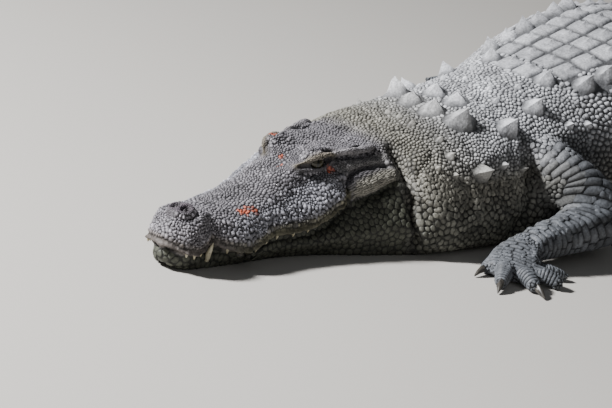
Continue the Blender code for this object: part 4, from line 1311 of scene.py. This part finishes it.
def back_scutes(chart):
    """The bosses of the neck and the rows of keeled scutes from the shoulders to the hips."""
    coat = Coat("back_scutes", rim=0.20, tip=1.10, rise=2.4)
    boss = scale_shape(8, boss_profile, 0.8)
    scute = scale_shape(10, scute_profile, 0.18)
    for a, out, long, wide, high in BOSSES:
        for side in (-1, 1):
            angle = angle_at_out(chart, a, side * out)
            coat.lay(chart, boss, along(a), angle, long * HEAD, wide * HEAD, BOSS_RISE * high * HEAD,
                     tint=BOSS_TINT)
    for a in np.arange(FIRST_ROW, ROWS_END, ROW_PITCH):
        wide = np.interp(a, *SCUTE_WIDTH)
        count = max(2, int(round(np.interp(a, *ROW_REACH) / wide)))
        for k, side in product(range(count), (-1, 1)):
            angle = chart.angle_at(along(a), side * ((k + 0.5) * wide) * HEAD)
            long = 0.49 * ROW_PITCH * RNG.uniform(0.94, 1.0)
            keel = np.interp(k, (0, 1, count - 1), KEEL_HEIGHTS) * RNG.uniform(0.75, 1.2)
            shift = RNG.uniform(-0.004, 0.004) * HEAD
            shape, rise = (boss, OUTER_RISE) if k == count - 1 else (scute, 1.0)
            coat.lay(chart, shape, along(a) + shift, angle, long * HEAD, 0.495 * wide * HEAD,
                     rise * keel * HEAD, RNG.uniform(-0.05, 0.05), RNG.uniform(0.80, 1.15))
    coat.make(38)


def laid_tree():
    """All places that laid scales cover, in a tree, with how far each reaches."""
    laid = np.vstack(Coat.laid)
    return tree_of(laid[:, :3].tolist()), laid[:, 3]


def bare_of_scales(where, room=0.8):
    """Which of the chosen triangles of the skin lie clear of all scales laid so far."""
    tree, reach = laid_tree()
    bare = where.copy()
    chosen = np.nonzero(where)[0]
    for n, spot in zip(chosen, SKIN.centres[chosen].tolist()):
        bare[n] = all(gap > room * reach[k] for _, k, gap in tree.find_n(spot, 2))
    return bare


# how far the scales of the crown and cheeks keep from slits and edges
EYE_ROOM = 0.034
EAR_ROOM = 0.013
FLAP_ROOM = 0.018
CORNER_ROOM = 0.012
TEMPLE_ROOM = 0.020
NARES_ROOM = 0.046
LIP_ROOM = 0.036
PAD_WAY = (1.0, 0.0, 0.30)  # the way that the folds of the corner pads run
LID_WAY = (1.0, 0.0, 0.25)
NECK_END = 1.96  # station where the neck's scales give way to the flank's
FLANK_END = 4.02


def head_regions():
    """Where the head's top, corner pads, lids, jaw and nostrils are, and how far off its slits are."""
    mirrored = SKIN.mirrored
    above = SKIN.z - line_height(LIP, SKIN.a)
    front = SKIN.a < MOUTH_END
    head = SKIN.a < HEAD_END
    upper = line_height(CORNER_SLIT[2:], SKIN.a)
    under = line_height(PAD_UNDERLINE, SKIN.a)
    eye = off_line(mirrored, EYE_SLIT)
    ear = np.minimum(off_line(mirrored, EAR_SLIT), off_line(mirrored, BROW_SLIT))
    bulb = off_line(mirrored, EAR_FLAP)
    temple = off_line(mirrored, TEMPLE_RIDGE)
    corner = np.minimum(off_line(mirrored, CORNER_SLIT), off_line(mirrored, PAD_UNDERLINE))
    nares = np.hypot(SKIN.a - NARES[0], SKIN.out) + 9 * (SKIN.z < 0.15)
    open_skin = (eye > EYE_ROOM) & (ear > EAR_ROOM) & (bulb > FLAP_ROOM) & (corner > CORNER_ROOM)
    open_skin &= (nares > NARES_ROOM) & (temple > TEMPLE_ROOM)
    top = head & open_skin & np.where(front, above > LIP_ROOM, SKIN.z > upper + 0.010)
    pads = head & ~front & (SKIN.z < upper - 0.006) & (SKIN.z > under + 0.004) & (SKIN.a > 0.81)
    lids = ((eye > 0.0155) & (eye <= EYE_ROOM)) | ((bulb <= FLAP_ROOM) & (ear > 0.009))
    lids |= (temple <= TEMPLE_ROOM) & (ear > 0.011) & (corner > CORNER_ROOM) & (eye > EYE_ROOM)
    jaw = head & np.where(front, above < -0.010, SKIN.z < under - 0.010)
    return top, pads, head & lids, jaw, nares < 0.044, np.minimum(eye - 0.02, ear)


def head_scales():
    """Knobs on the cheeks, grains on the crown, fine folds on lids and pads, a flat net on the jaw."""
    top, pads, lids, jaw, nares, slits = head_regions()
    crown = smooth_step(SKIN.up, 0.45, 0.75) * smooth_step(SKIN.a, 0.13, 0.20)
    cheek = smooth_step(SKIN.z - line_height(LIP, SKIN.a), 0.02, 0.07) * (1 - crown)
    spacing = (0.0100 + 0.0050 * cheek * smooth_step(SKIN.a, 0.14, 0.30)) * HEAD
    spacing *= 1 - 0.30 * bell(slits, 0.04)
    spacing *= 1 + 0.40 * np.clip(lattice_noise(SKIN.centres, 0.035, 15), -1, 1)
    knobby = crown + RNG.uniform(-0.4, 0.4, len(crown)) < 0.5
    knobs = Coat("head_knobs", rim=0.10, tip=2.20, scatter=0.55)
    lay_cells(knobs, POINT, top & knobby, spacing, height=0.0068 * HEAD)
    knobs.make(60)
    grains = Coat("crown_scales", rim=0.22, tip=1.40, scatter=0.45)
    lay_cells(grains, KNOB, bare_of_scales(top, 0.9), spacing * 0.95, height=0.0034 * HEAD)
    grains.make(60)
    fine = 0.0080 * HEAD * 0.62
    edges = Coat("lid_folds", rim=0.70, tip=1.06, scatter=0.10)
    lay_cells(edges, PLATE, lids, fine, height=0.0011 * HEAD, way=LID_WAY, stretch=2.2)
    edges.make(60)
    folds = Coat("head_folds", rim=0.40, tip=1.15, scatter=0.22)
    lay_cells(folds, PLATE, pads, fine, height=0.0024 * HEAD, way=PAD_WAY, stretch=6.0)
    lay_cells(folds, KNOB, nares, fine, height=0.0011 * HEAD)
    folds.make(60)
    net = Coat("jaw_scales", rim=0.55, tip=1.10, scatter=0.22)
    lay_cells(net, PLATE, jaw, 0.0180 * HEAD, height=0.0016 * HEAD)
    net.make(60)


def halves():
    """Which triangles of the skin are on the left, and which on the right."""
    return ("left", SKIN.side < 0), ("right", SKIN.side >= 0)


def neck_scales():
    """Beads over neck and shoulders that widen below into a net of flat cells on the jowls."""
    body = np.isin(SKIN.owners, BODY_NODES)
    bare = bare_of_scales((SKIN.a >= HEAD_END) & (SKIN.a < NECK_END) & body)
    low = 1 - smooth_step(SKIN.z, 0.10, 0.32)
    shoulder = smooth_step(SKIN.a, 1.55, 1.9) * (1 - low)
    spacing = (0.0112 + 0.0080 * low + 0.0022 * shoulder) * HEAD
    beaded = low + 0.45 * lattice_noise(SKIN.centres, 0.06, 9) < 0.5
    for tag, mine in halves():
        coat = Coat("neck_scales_" + tag, rim=0.18, tip=1.25, scatter=0.38)
        lay_cells(coat, KNOB, bare & mine & beaded, spacing, height=0.0042 * HEAD)
        net = bare_of_scales(bare & mine & (low > 0.1), 0.9)
        lay_cells(coat, PLATE, net, spacing, height=0.0034 * HEAD)
        coat.make(60)


BELLY_PITCH = 0.046
BELLY_EDGE = 0.95  # how far round from the top the belly's rows are looked for
BELLY_HEIGHTS = (0.012, 0.125)  # between these the flat oblong scales lie


def flank_scales(chart):
    """Oval scales down the flanks, and flat oblong ones in rows on the belly."""
    belly = Coat("belly_scales", rim=0.55, tip=1.12)
    oblong = scale_shape(3, flat_topped, 0.4)
    for a in np.arange(1.95, 3.95, BELLY_PITCH):
        edge = chart.angle_at(along(a), np.arange(-BELLY_EDGE, BELLY_EDGE, BELLY_PITCH) * HEAD)
        u = np.full(len(edge), along(a))
        height = body_coords(chart.surface(u, edge)[0])[2]
        low = (height < BELLY_HEIGHTS[1]) & (height > BELLY_HEIGHTS[0])
        belly.lay(chart, oblong, u[low], edge[low], 0.0225 * HEAD, 0.0222 * HEAD, 0.005 * HEAD,
                  tint=RNG.uniform(0.9, 1.1, low.sum()))
    belly.make()
    flank = np.isin(SKIN.owners, BODY_NODES) & (SKIN.a >= NECK_END) & (SKIN.a < FLANK_END)
    bare = bare_of_scales(flank & (SKIN.z > 0.02))
    spacing = (0.0150 + 0.0075 * smooth_step(SKIN.a, 1.95, 2.6)) * HEAD
    for tag, mine in halves():
        ovals = Coat("flank_scales_" + tag, rim=0.24, tip=1.22, scatter=0.25)
        lay_cells(ovals, KNOB, bare & mine, spacing, height=0.0068 * HEAD, fit=(0.93, 0.90),
                  way=(1, 0, 0), stretch=1.3)
        ovals.make(60)


TAIL_PITCH = 0.098
RING_WIDTH = ((4, 7.2), (0.052, 0.020))  # stations, widths of the rings' scales
CREST_SPREAD = ((3.9, 5.5), (0.085, 0.035))  # stations, how far out the two crests stand
CREST_HEIGHT = ((3.9, 4.6, 5.6, 6.6, 7.2), (0.028, 0.050, 0.080, 0.070, 0.030))
CRESTS_MEET = 5.5


def tail_scales(chart):
    """Rings of oblong scales round the tail, with two crests of flags that meet in one."""
    rings = Coat("tail_scales", rim=0.50, tip=1.15)
    crests = Coat("tail_crest", rim=0.60, tip=1.15)
    oblong = scale_shape(3, flat_topped, 0.35)
    keel = scale_shape(6, keel_profile, 0.5)
    flag = scale_shape(6, crest_profile, 0.2)
    for a in np.arange(3.98, 7.22, TAIL_PITCH):
        u = float(along(a))
        half = chart.round[int(u / chart.step)]
        reach = min(-half[0], half[-1])
        count = max(4, int(round(reach / (np.interp(a, *RING_WIDTH) * HEAD))))
        wide = reach / count
        angle = chart.angle_at(u, (np.arange(-count, count) + 0.5) * wide)
        for row in (-0.25, 0.25):
            rings.lay(chart, oblong, np.full(len(angle), u + row * TAIL_PITCH * HEAD), angle,
                      0.245 * TAIL_PITCH * HEAD, 0.47 * wide, 0.0045 * HEAD,
                      tint=RNG.uniform(0.88, 1.1, len(angle)))
        two = a < CRESTS_MEET
        spread = np.interp(a, *CREST_SPREAD) if two else 0.0
        thick = (0.018 if two else 0.014) * HEAD
        high = np.interp(a, *CREST_HEIGHT) * HEAD
        for side in ((-1, 1) if two else (0,)):
            angle = chart.angle_at(u, side * spread * HEAD)
            crests.lay(chart, flag, u, angle, 0.054 * HEAD, thick, high, tint=RNG.uniform(0.9, 1.05))
        for side in ((-1, 1) if two else ()):
            angle = chart.angle_at(u, side * (spread + 0.062) * HEAD)
            rings.lay(chart, keel, u, angle, 0.046 * HEAD, 0.026 * HEAD, 0.016 * HEAD)
    rings.make()
    crests.make(38)


BAND_STOPS = (0, 0.45, 0.75, 1)  # shares of the way from the shoulder or hip to the wrist or ankle
BAND_PITCH = (0.034, 0.028, 0.024, 0.020)
BAND_WIDTH = (0.042, 0.038, 0.030, 0.022)  # half the width of a band's scales
LIMB_EDGE = 0.36  # how far out the bands of a limb begin on the trunk
LIMB_STEP = 0.008  # metres, as are the next five
LIMB_REACH = 0.17
HAND_REACH = 0.13
DIGIT_STEP = 0.006
RING_PITCH = 0.0068
RING_START = 0.004
RING_SIZE = (0.0032, 0.0024)  # half length and height of a digit's rings
RING_ANGLES = np.linspace(-1.7, 1.7, 4)


def limb_chart(limb):
    """The limb's hide from shoulder or hip to the wrist or ankle, round one bent line."""
    nodes, lines = LIMBS[limb][2:4]
    centres = evenly(limb_line(limb, np.vstack([lines[0][:-1], lines[1][1:]])), LIMB_STEP, 25)
    return Chart(centres, (*nodes[:2], "chest", "belly"), LIMB_REACH, LIMB_STEP, 60, outside=LIMB_EDGE)


def hand_chart(limb):
    """The hide of a hand or foot, round its middle line."""
    nodes, lines = LIMBS[limb][2:4]
    return Chart(evenly(limb_line(limb, lines[2]), LIMB_STEP), nodes[2:], HAND_REACH, LIMB_STEP, 48)


def digit_charts(limb):
    """The hide of each digit, with the digit's thickness."""
    nodes, _, digits = LIMBS[limb][2:]
    for base, tip, thick in digits:
        middle = ((base[0] + tip[0]) / 2, (base[1] + tip[1]) / 2, thick * 1.15)
        centres = limb_line(limb, ((*base, thick * 1.1), middle, (*tip, thick * 0.6)))
        yield thick, Chart(evenly(centres, DIGIT_STEP), nodes[2:], thick * 1.6 * HEAD, DIGIT_STEP, 24)


def band_profile(x, y):
    """A pillow with full edges, so that a deep groove parts it from the next."""
    return 0.35 + 0.65 * (1 - abs(x) ** 3.5) * (1 - 0.5 * abs(y) ** 5)


def limb_scales(limb):
    """Bands of oblong scales across each length of a limb, rings on its digits, and cells between."""
    coat = Coat("scales_" + limb, rim=0.22, tip=1.18)
    band = scale_shape(4, band_profile, 0.35)
    for chart, start, end in ((limb_chart(limb), 0, 1), (hand_chart(limb), 1, 1)):
        u = 0.0
        while u < chart.length():
            t = start + (end - start) * u / chart.length()
            pitch = np.interp(t, BAND_STOPS, BAND_PITCH) * HEAD
            wide = np.interp(t, BAND_STOPS, BAND_WIDTH) * HEAD
            row = chart.round[min(int(u / chart.step), len(chart.line) - 1)]
            across = np.arange(row[0] + wide, row[-1] - wide, 2 * wide) + RNG.uniform(0, 2) * wide
            across += RNG.uniform(-0.12, 0.12, len(across)) * wide
            angle = chart.angle_at(u, across)
            coat.lay(chart, band, np.full(len(angle), u), angle, 0.475 * pitch, 0.95 * wide, 0.20 * pitch,
                     RNG.uniform(-0.04, 0.04, len(angle)), RNG.uniform(0.84, 1.16, len(angle)))
            u += pitch
    for thick, chart in digit_charts(limb):
        for u in np.arange(RING_START, chart.length() - RING_START, RING_PITCH):
            coat.lay(chart, band, np.full(4, u), RING_ANGLES, RING_SIZE[0], 0.52 * thick * HEAD,
                     RING_SIZE[1], tint=RNG.uniform(0.9, 1.1, 4))
    coat.make()
    nodes = LIMBS[limb][2]
    fill = Coat("skin_between_" + limb, rim=0.26, tip=1.10)
    size = np.where(SKIN.owners == nodes[2], 0.0095, 0.0150) * HEAD
    lay_cells(fill, PLATE, bare_of_scales(np.isin(SKIN.owners, nodes)), size, height=0.0045 * HEAD)
    fill.make(60)


# ---- eyes, teeth and claws


GAZE = (-0.35, 0.93, 0.10)
CORNEA = 0.035  # how far the clear front bulges, as a share of the radius
PUPIL = (0.13, 0.52)  # half width and half height, as shares of the radius
# the eye's white and iris: their own dark colours, made darker still as painted shade under the lids
SHADED_WHITE_COLOUR = (0.010, 0.008, 0.006)
SHADED_IRIS_COLOUR = (0.030, 0.026, 0.011)
PUPIL_COLOUR = (0.003, 0.003, 0.003)


def add_eye(name, side):
    """A wet ball with a slit pupil, sunk between the lids."""
    bm = bmesh.new()
    bmesh.ops.create_uvsphere(bm, u_segments=48, v_segments=32, radius=EYE_RADIUS * HEAD * EYEBALL)
    for vert in bm.verts:
        ahead = vert.co.normalized().z
        vert.co *= 1 + CORNEA * float(smooth_step(ahead, 0.80, 0.97))
    gaze = Vector((GAZE[0], GAZE[1] * side, GAZE[2])).normalized()
    turned = gaze.to_track_quat("Z", "Y").to_matrix()
    spots = np.array([v.co.normalized() for v in bm.verts])
    bmesh.ops.rotate(bm, verts=bm.verts, cent=(0, 0, 0), matrix=turned)
    bmesh.ops.translate(bm, verts=bm.verts, vec=place(EYE[0], EYE[1] * side, EYE[2]).tolist())
    mesh = mesh_of(bm, name)
    mesh.shade_smooth()
    obj = new_object(name, mesh)
    x, y, ahead = spots.T
    around = np.arctan2(y, x)
    iris = (ahead > 0) * (1 - smooth_step(np.hypot(x, y), 0.56, 0.64))
    pupil = (ahead > 0) * (1 - smooth_step(np.abs(x) / PUPIL[0] + (y / PUPIL[1]) ** 2, 0.8, 1.0))
    streak = 0.75 + 0.35 * np.abs(np.sin(around * 17)) + 0.25 * np.sin(around * 41)
    # painted shade: white and iris are painted dark for the shade of the lids
    colours = mixed(SHADED_WHITE_COLOUR, SHADED_IRIS_COLOUR, iris) * (1 + iris * (streak - 1))[:, None]
    paint(obj, mixed(colours, PUPIL_COLOUR, pupil))
    mesh.materials.append(EYE_FINISH)
    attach(obj, "root")
    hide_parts(name.replace("eyeball", "eye"))


UPPER_TEETH = (  # station and length
    (0.045, 0.003), (0.075, 0.006), (0.105, 0.003), (0.220, 0.006), (0.255, 0.008), (0.295, 0.009),
    (0.335, 0.005), (0.395, 0.004), (0.450, 0.006), (0.520, 0.004), (0.590, 0.003),
)
TOOTH_THICKNESS = 0.0055
TOOTH_ROOT = 0.014  # how far above the lip's edge an upper tooth starts
TOOTH_INSIDE = 0.006  # how far inside the lip it stands
FOURTH_TOOTH = ((0.164, 0.080, 0.030), (0.162, 0.097, 0.098), 0.0105)  # root, tip and thickness
IVORY = ((0.30, 0.26, 0.16), (0.62, 0.58, 0.45))
CLAW_HORN = ((0.022, 0.020, 0.018), (0.075, 0.068, 0.058))


def links_of(verts):
    """The edges and the faces that meet at the points."""
    return {e for v in verts for e in v.link_edges}, {f for v in verts for f in v.link_faces}


def tooth(bm, root, tip, thick):
    """A stout cone with a blunted tip, swelling a little above its root."""
    made = bmesh.ops.create_cone(bm, cap_ends=True, segments=12, radius1=thick,
                                 radius2=thick * 0.06, depth=1.0)
    verts = made["verts"]
    edges, faces = links_of(verts)
    for level in (-0.2, 0.1, 0.3, 0.42):
        geometry = [*verts, *edges, *faces]
        cut = bmesh.ops.bisect_plane(bm, geom=geometry, plane_co=(0, 0, level), plane_no=(0, 0, 1))
        found = cut["geom"] + cut["geom_cut"]
        verts = {g for g in found if isinstance(g, bmesh.types.BMVert)}
        edges, faces = links_of(verts)
    lean = (tip - root).to_track_quat("Z", "Y").to_matrix()
    length = (tip - root).length
    for vert in verts:
        t = vert.co.z + 0.5
        full = (1 - t ** 2.2) ** 0.75 / max(1 - 0.94 * t, 0.06) if t < 1 else 1.0
        vert.co = root + lean @ Vector((vert.co.x * full, vert.co.y * full, t * length))


def add_teeth():
    """The upper teeth that show below the lip, and the lower jaw's fourth teeth in their notches."""
    bm = bmesh.new()
    for side in (-1, 1):
        for a, length in UPPER_TEETH:
            out = (np.interp(a, [p[0] for p in LIP], [p[1] for p in LIP]) - TOOTH_INSIDE) * side
            top = Vector(place(a, out, line_height(LIP, a) + TOOTH_ROOT))
            end = Vector(place(a, out, line_height(LIP, a) - length))
            tooth(bm, top, end, TOOTH_THICKNESS * HEAD)
        *ends, thick = FOURTH_TOOTH
        tooth(bm, *(Vector(place(a, out * side, z)) for a, out, z in ends), thick * HEAD)
    mesh = mesh_of(bm, "teeth")
    mesh.shade_smooth()
    mesh.materials.append(horn_finish("worn_ivory", *IVORY, 0.38, 0.006))
    obj = new_object("teeth", mesh)
    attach(obj, "root")


def add_claws():
    """Each claw is its solid rounded into a smooth curved horn."""
    made = horn_finish("claw_horn", *CLAW_HORN, 0.40, 0.010)
    for name in [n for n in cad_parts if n.startswith("claw")]:
        obj = new_object("horn_" + name, mesh_of(cad_bmesh(name), "horn_" + name))
        rounded = obj.modifiers.new("rounded", "SUBSURF")
        rounded.levels = 2
        rounded.render_levels = 2
        mesh = shaped(obj)
        mesh.shade_smooth()
        mesh.materials.clear()
        mesh.materials.append(made)
        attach(obj, "root")
        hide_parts(name)


# ---- camera, floor and light

VIEW_AZIMUTH = -50.0
VIEW_ELEVATION = 17.0
VIEW_ROLL = 12.0
VIEW_DISTANCE = 9.1  # head lengths from the snout tip
SNOUT_TIP = (0.0, 0.0, 0.10)
SNOUT_IN_VIEW = (-0.2369, -0.0588)  # of the frame's width, from its centre, to the right and up
LENS = 164.9
SENSOR = 36
FLOOR_COLOUR = (0.52, 0.50, 0.47, 1)
FLOOR_HALF = 30
WORLD_COLOUR = (0.90, 0.95, 1.0, 1)
WORLD_STRENGTH = 0.09
LAMPS = (  # name, direction that it lies in, watts and width
    ("key", (-0.68, 0.42, 0.62), 1120, 0.6), ("fill", (-0.6, -0.9, 0.5), 24, 5),
)
LAMP_DISTANCE = 6.0
LIT_PLACE = (0.9, 0, 0.2)  # what the lamps point at


def add_camera():
    """The camera, placed so that the snout tip falls on its place in the frame."""
    camera = new_object("camera", bpy.data.cameras.new("camera"))
    bpy.context.scene.camera = camera
    az, el = math.radians(VIEW_AZIMUTH), math.radians(VIEW_ELEVATION)
    back = Vector((math.sin(az) * math.cos(el), -math.cos(az) * math.cos(el), math.sin(el)))
    turn = back.to_track_quat("Z", "Y") @ Quaternion((0, 0, 1), math.radians(VIEW_ROLL))
    far = VIEW_DISTANCE * HEAD
    camera.data.sensor_width = SENSOR
    camera.data.lens = LENS
    span = far * SENSOR / LENS
    right, up, _ = turn.to_matrix().transposed()
    aim = Vector(place(*SNOUT_TIP)) - right * span * SNOUT_IN_VIEW[0] - up * span * SNOUT_IN_VIEW[1]
    camera.location = aim + back * far
    camera.rotation_mode = "QUATERNION"
    camera.rotation_quaternion = turn
    camera.data.clip_end = 100


def add_light(name, toward, energy, size):
    """A square lamp that lies in one direction from the neck and faces it."""
    lamp = bpy.data.lights.new(name, "AREA")
    lamp.energy = energy
    lamp.size = size
    obj = new_object(name, lamp)
    way = Vector(toward).normalized()
    obj.location = way * LAMP_DISTANCE + Vector(place(*LIT_PLACE))
    obj.rotation_euler = way.to_track_quat("Z", "Y").to_euler()


def add_studio():
    """The floor, the sky's even light and the lamps."""
    bm = bmesh.new()
    bmesh.ops.create_grid(bm, x_segments=1, y_segments=1, size=FLOOR_HALF)
    mesh = mesh_of(bm, "floor")
    floor = new_object("floor", mesh)
    mesh.materials.append(finish("pale_floor", roughness=0.9, specular=0.1, colour=FLOOR_COLOUR)[0])
    world = bpy.data.worlds.new("studio")
    bpy.context.scene.world = world
    world.use_nodes = True
    sky = world.node_tree.nodes["Background"]
    sky.inputs["Color"].default_value = WORLD_COLOUR
    sky.inputs["Strength"].default_value = WORLD_STRENGTH
    for lamp in LAMPS:
        add_light(*lamp)


CRACK_SHADE = 0.26  # how dark the painted shade makes the skin under and between the scales
CRACK_REACH = 1.7  # how far beyond a scale's own reach the painted shade darkens the skin


def shade_cracks(obj):
    """Paints the skin: its own colours and markings, and much darker where scales stand on it, as painted
    shade in the cracks between them.
    """
    points = rows_of(obj.data.vertices, "co", 3)
    tree, reach = laid_tree()
    covered = np.array([gap < CRACK_REACH * reach[n] for _, n, gap in map(tree.find, points.tolist())])
    paint(obj, marking_and_shading(points) * np.where(covered, CRACK_SHADE, 1.0)[:, None])


RNG = np.random.default_rng(8)
add_camera()
FLESH_TREE, FLESH_OWNERS = flesh_tree()
SCALE_FINISH = hide_finish("dry_scales", 0.58)
EYE_FINISH = eye_finish()
hide = hide_base()
sculpt_hide(hide)
unwrap_hide(hide)
hide.data.materials.append(hide_finish("bare_hide", 0.62, 0.0065, 0.0012))
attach(hide, "root")
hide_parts(*FLESH)
HIDE_TREE = BVHTree.FromObject(hide, bpy.context.evaluated_depsgraph_get())
SKIN = Skin(hide)

trunk = body_chart()
back_scutes(trunk)
for limb in LIMBS:
    limb_scales(limb)
head_scales()
neck_scales()
flank_scales(trunk)
tail_scales(trunk)
shade_cracks(hide)
for eye_side, eye_name in ((-1, "eyeball_left"), (1, "eyeball_right")):
    add_eye(eye_name, eye_side)
add_teeth()
add_claws()
add_studio()
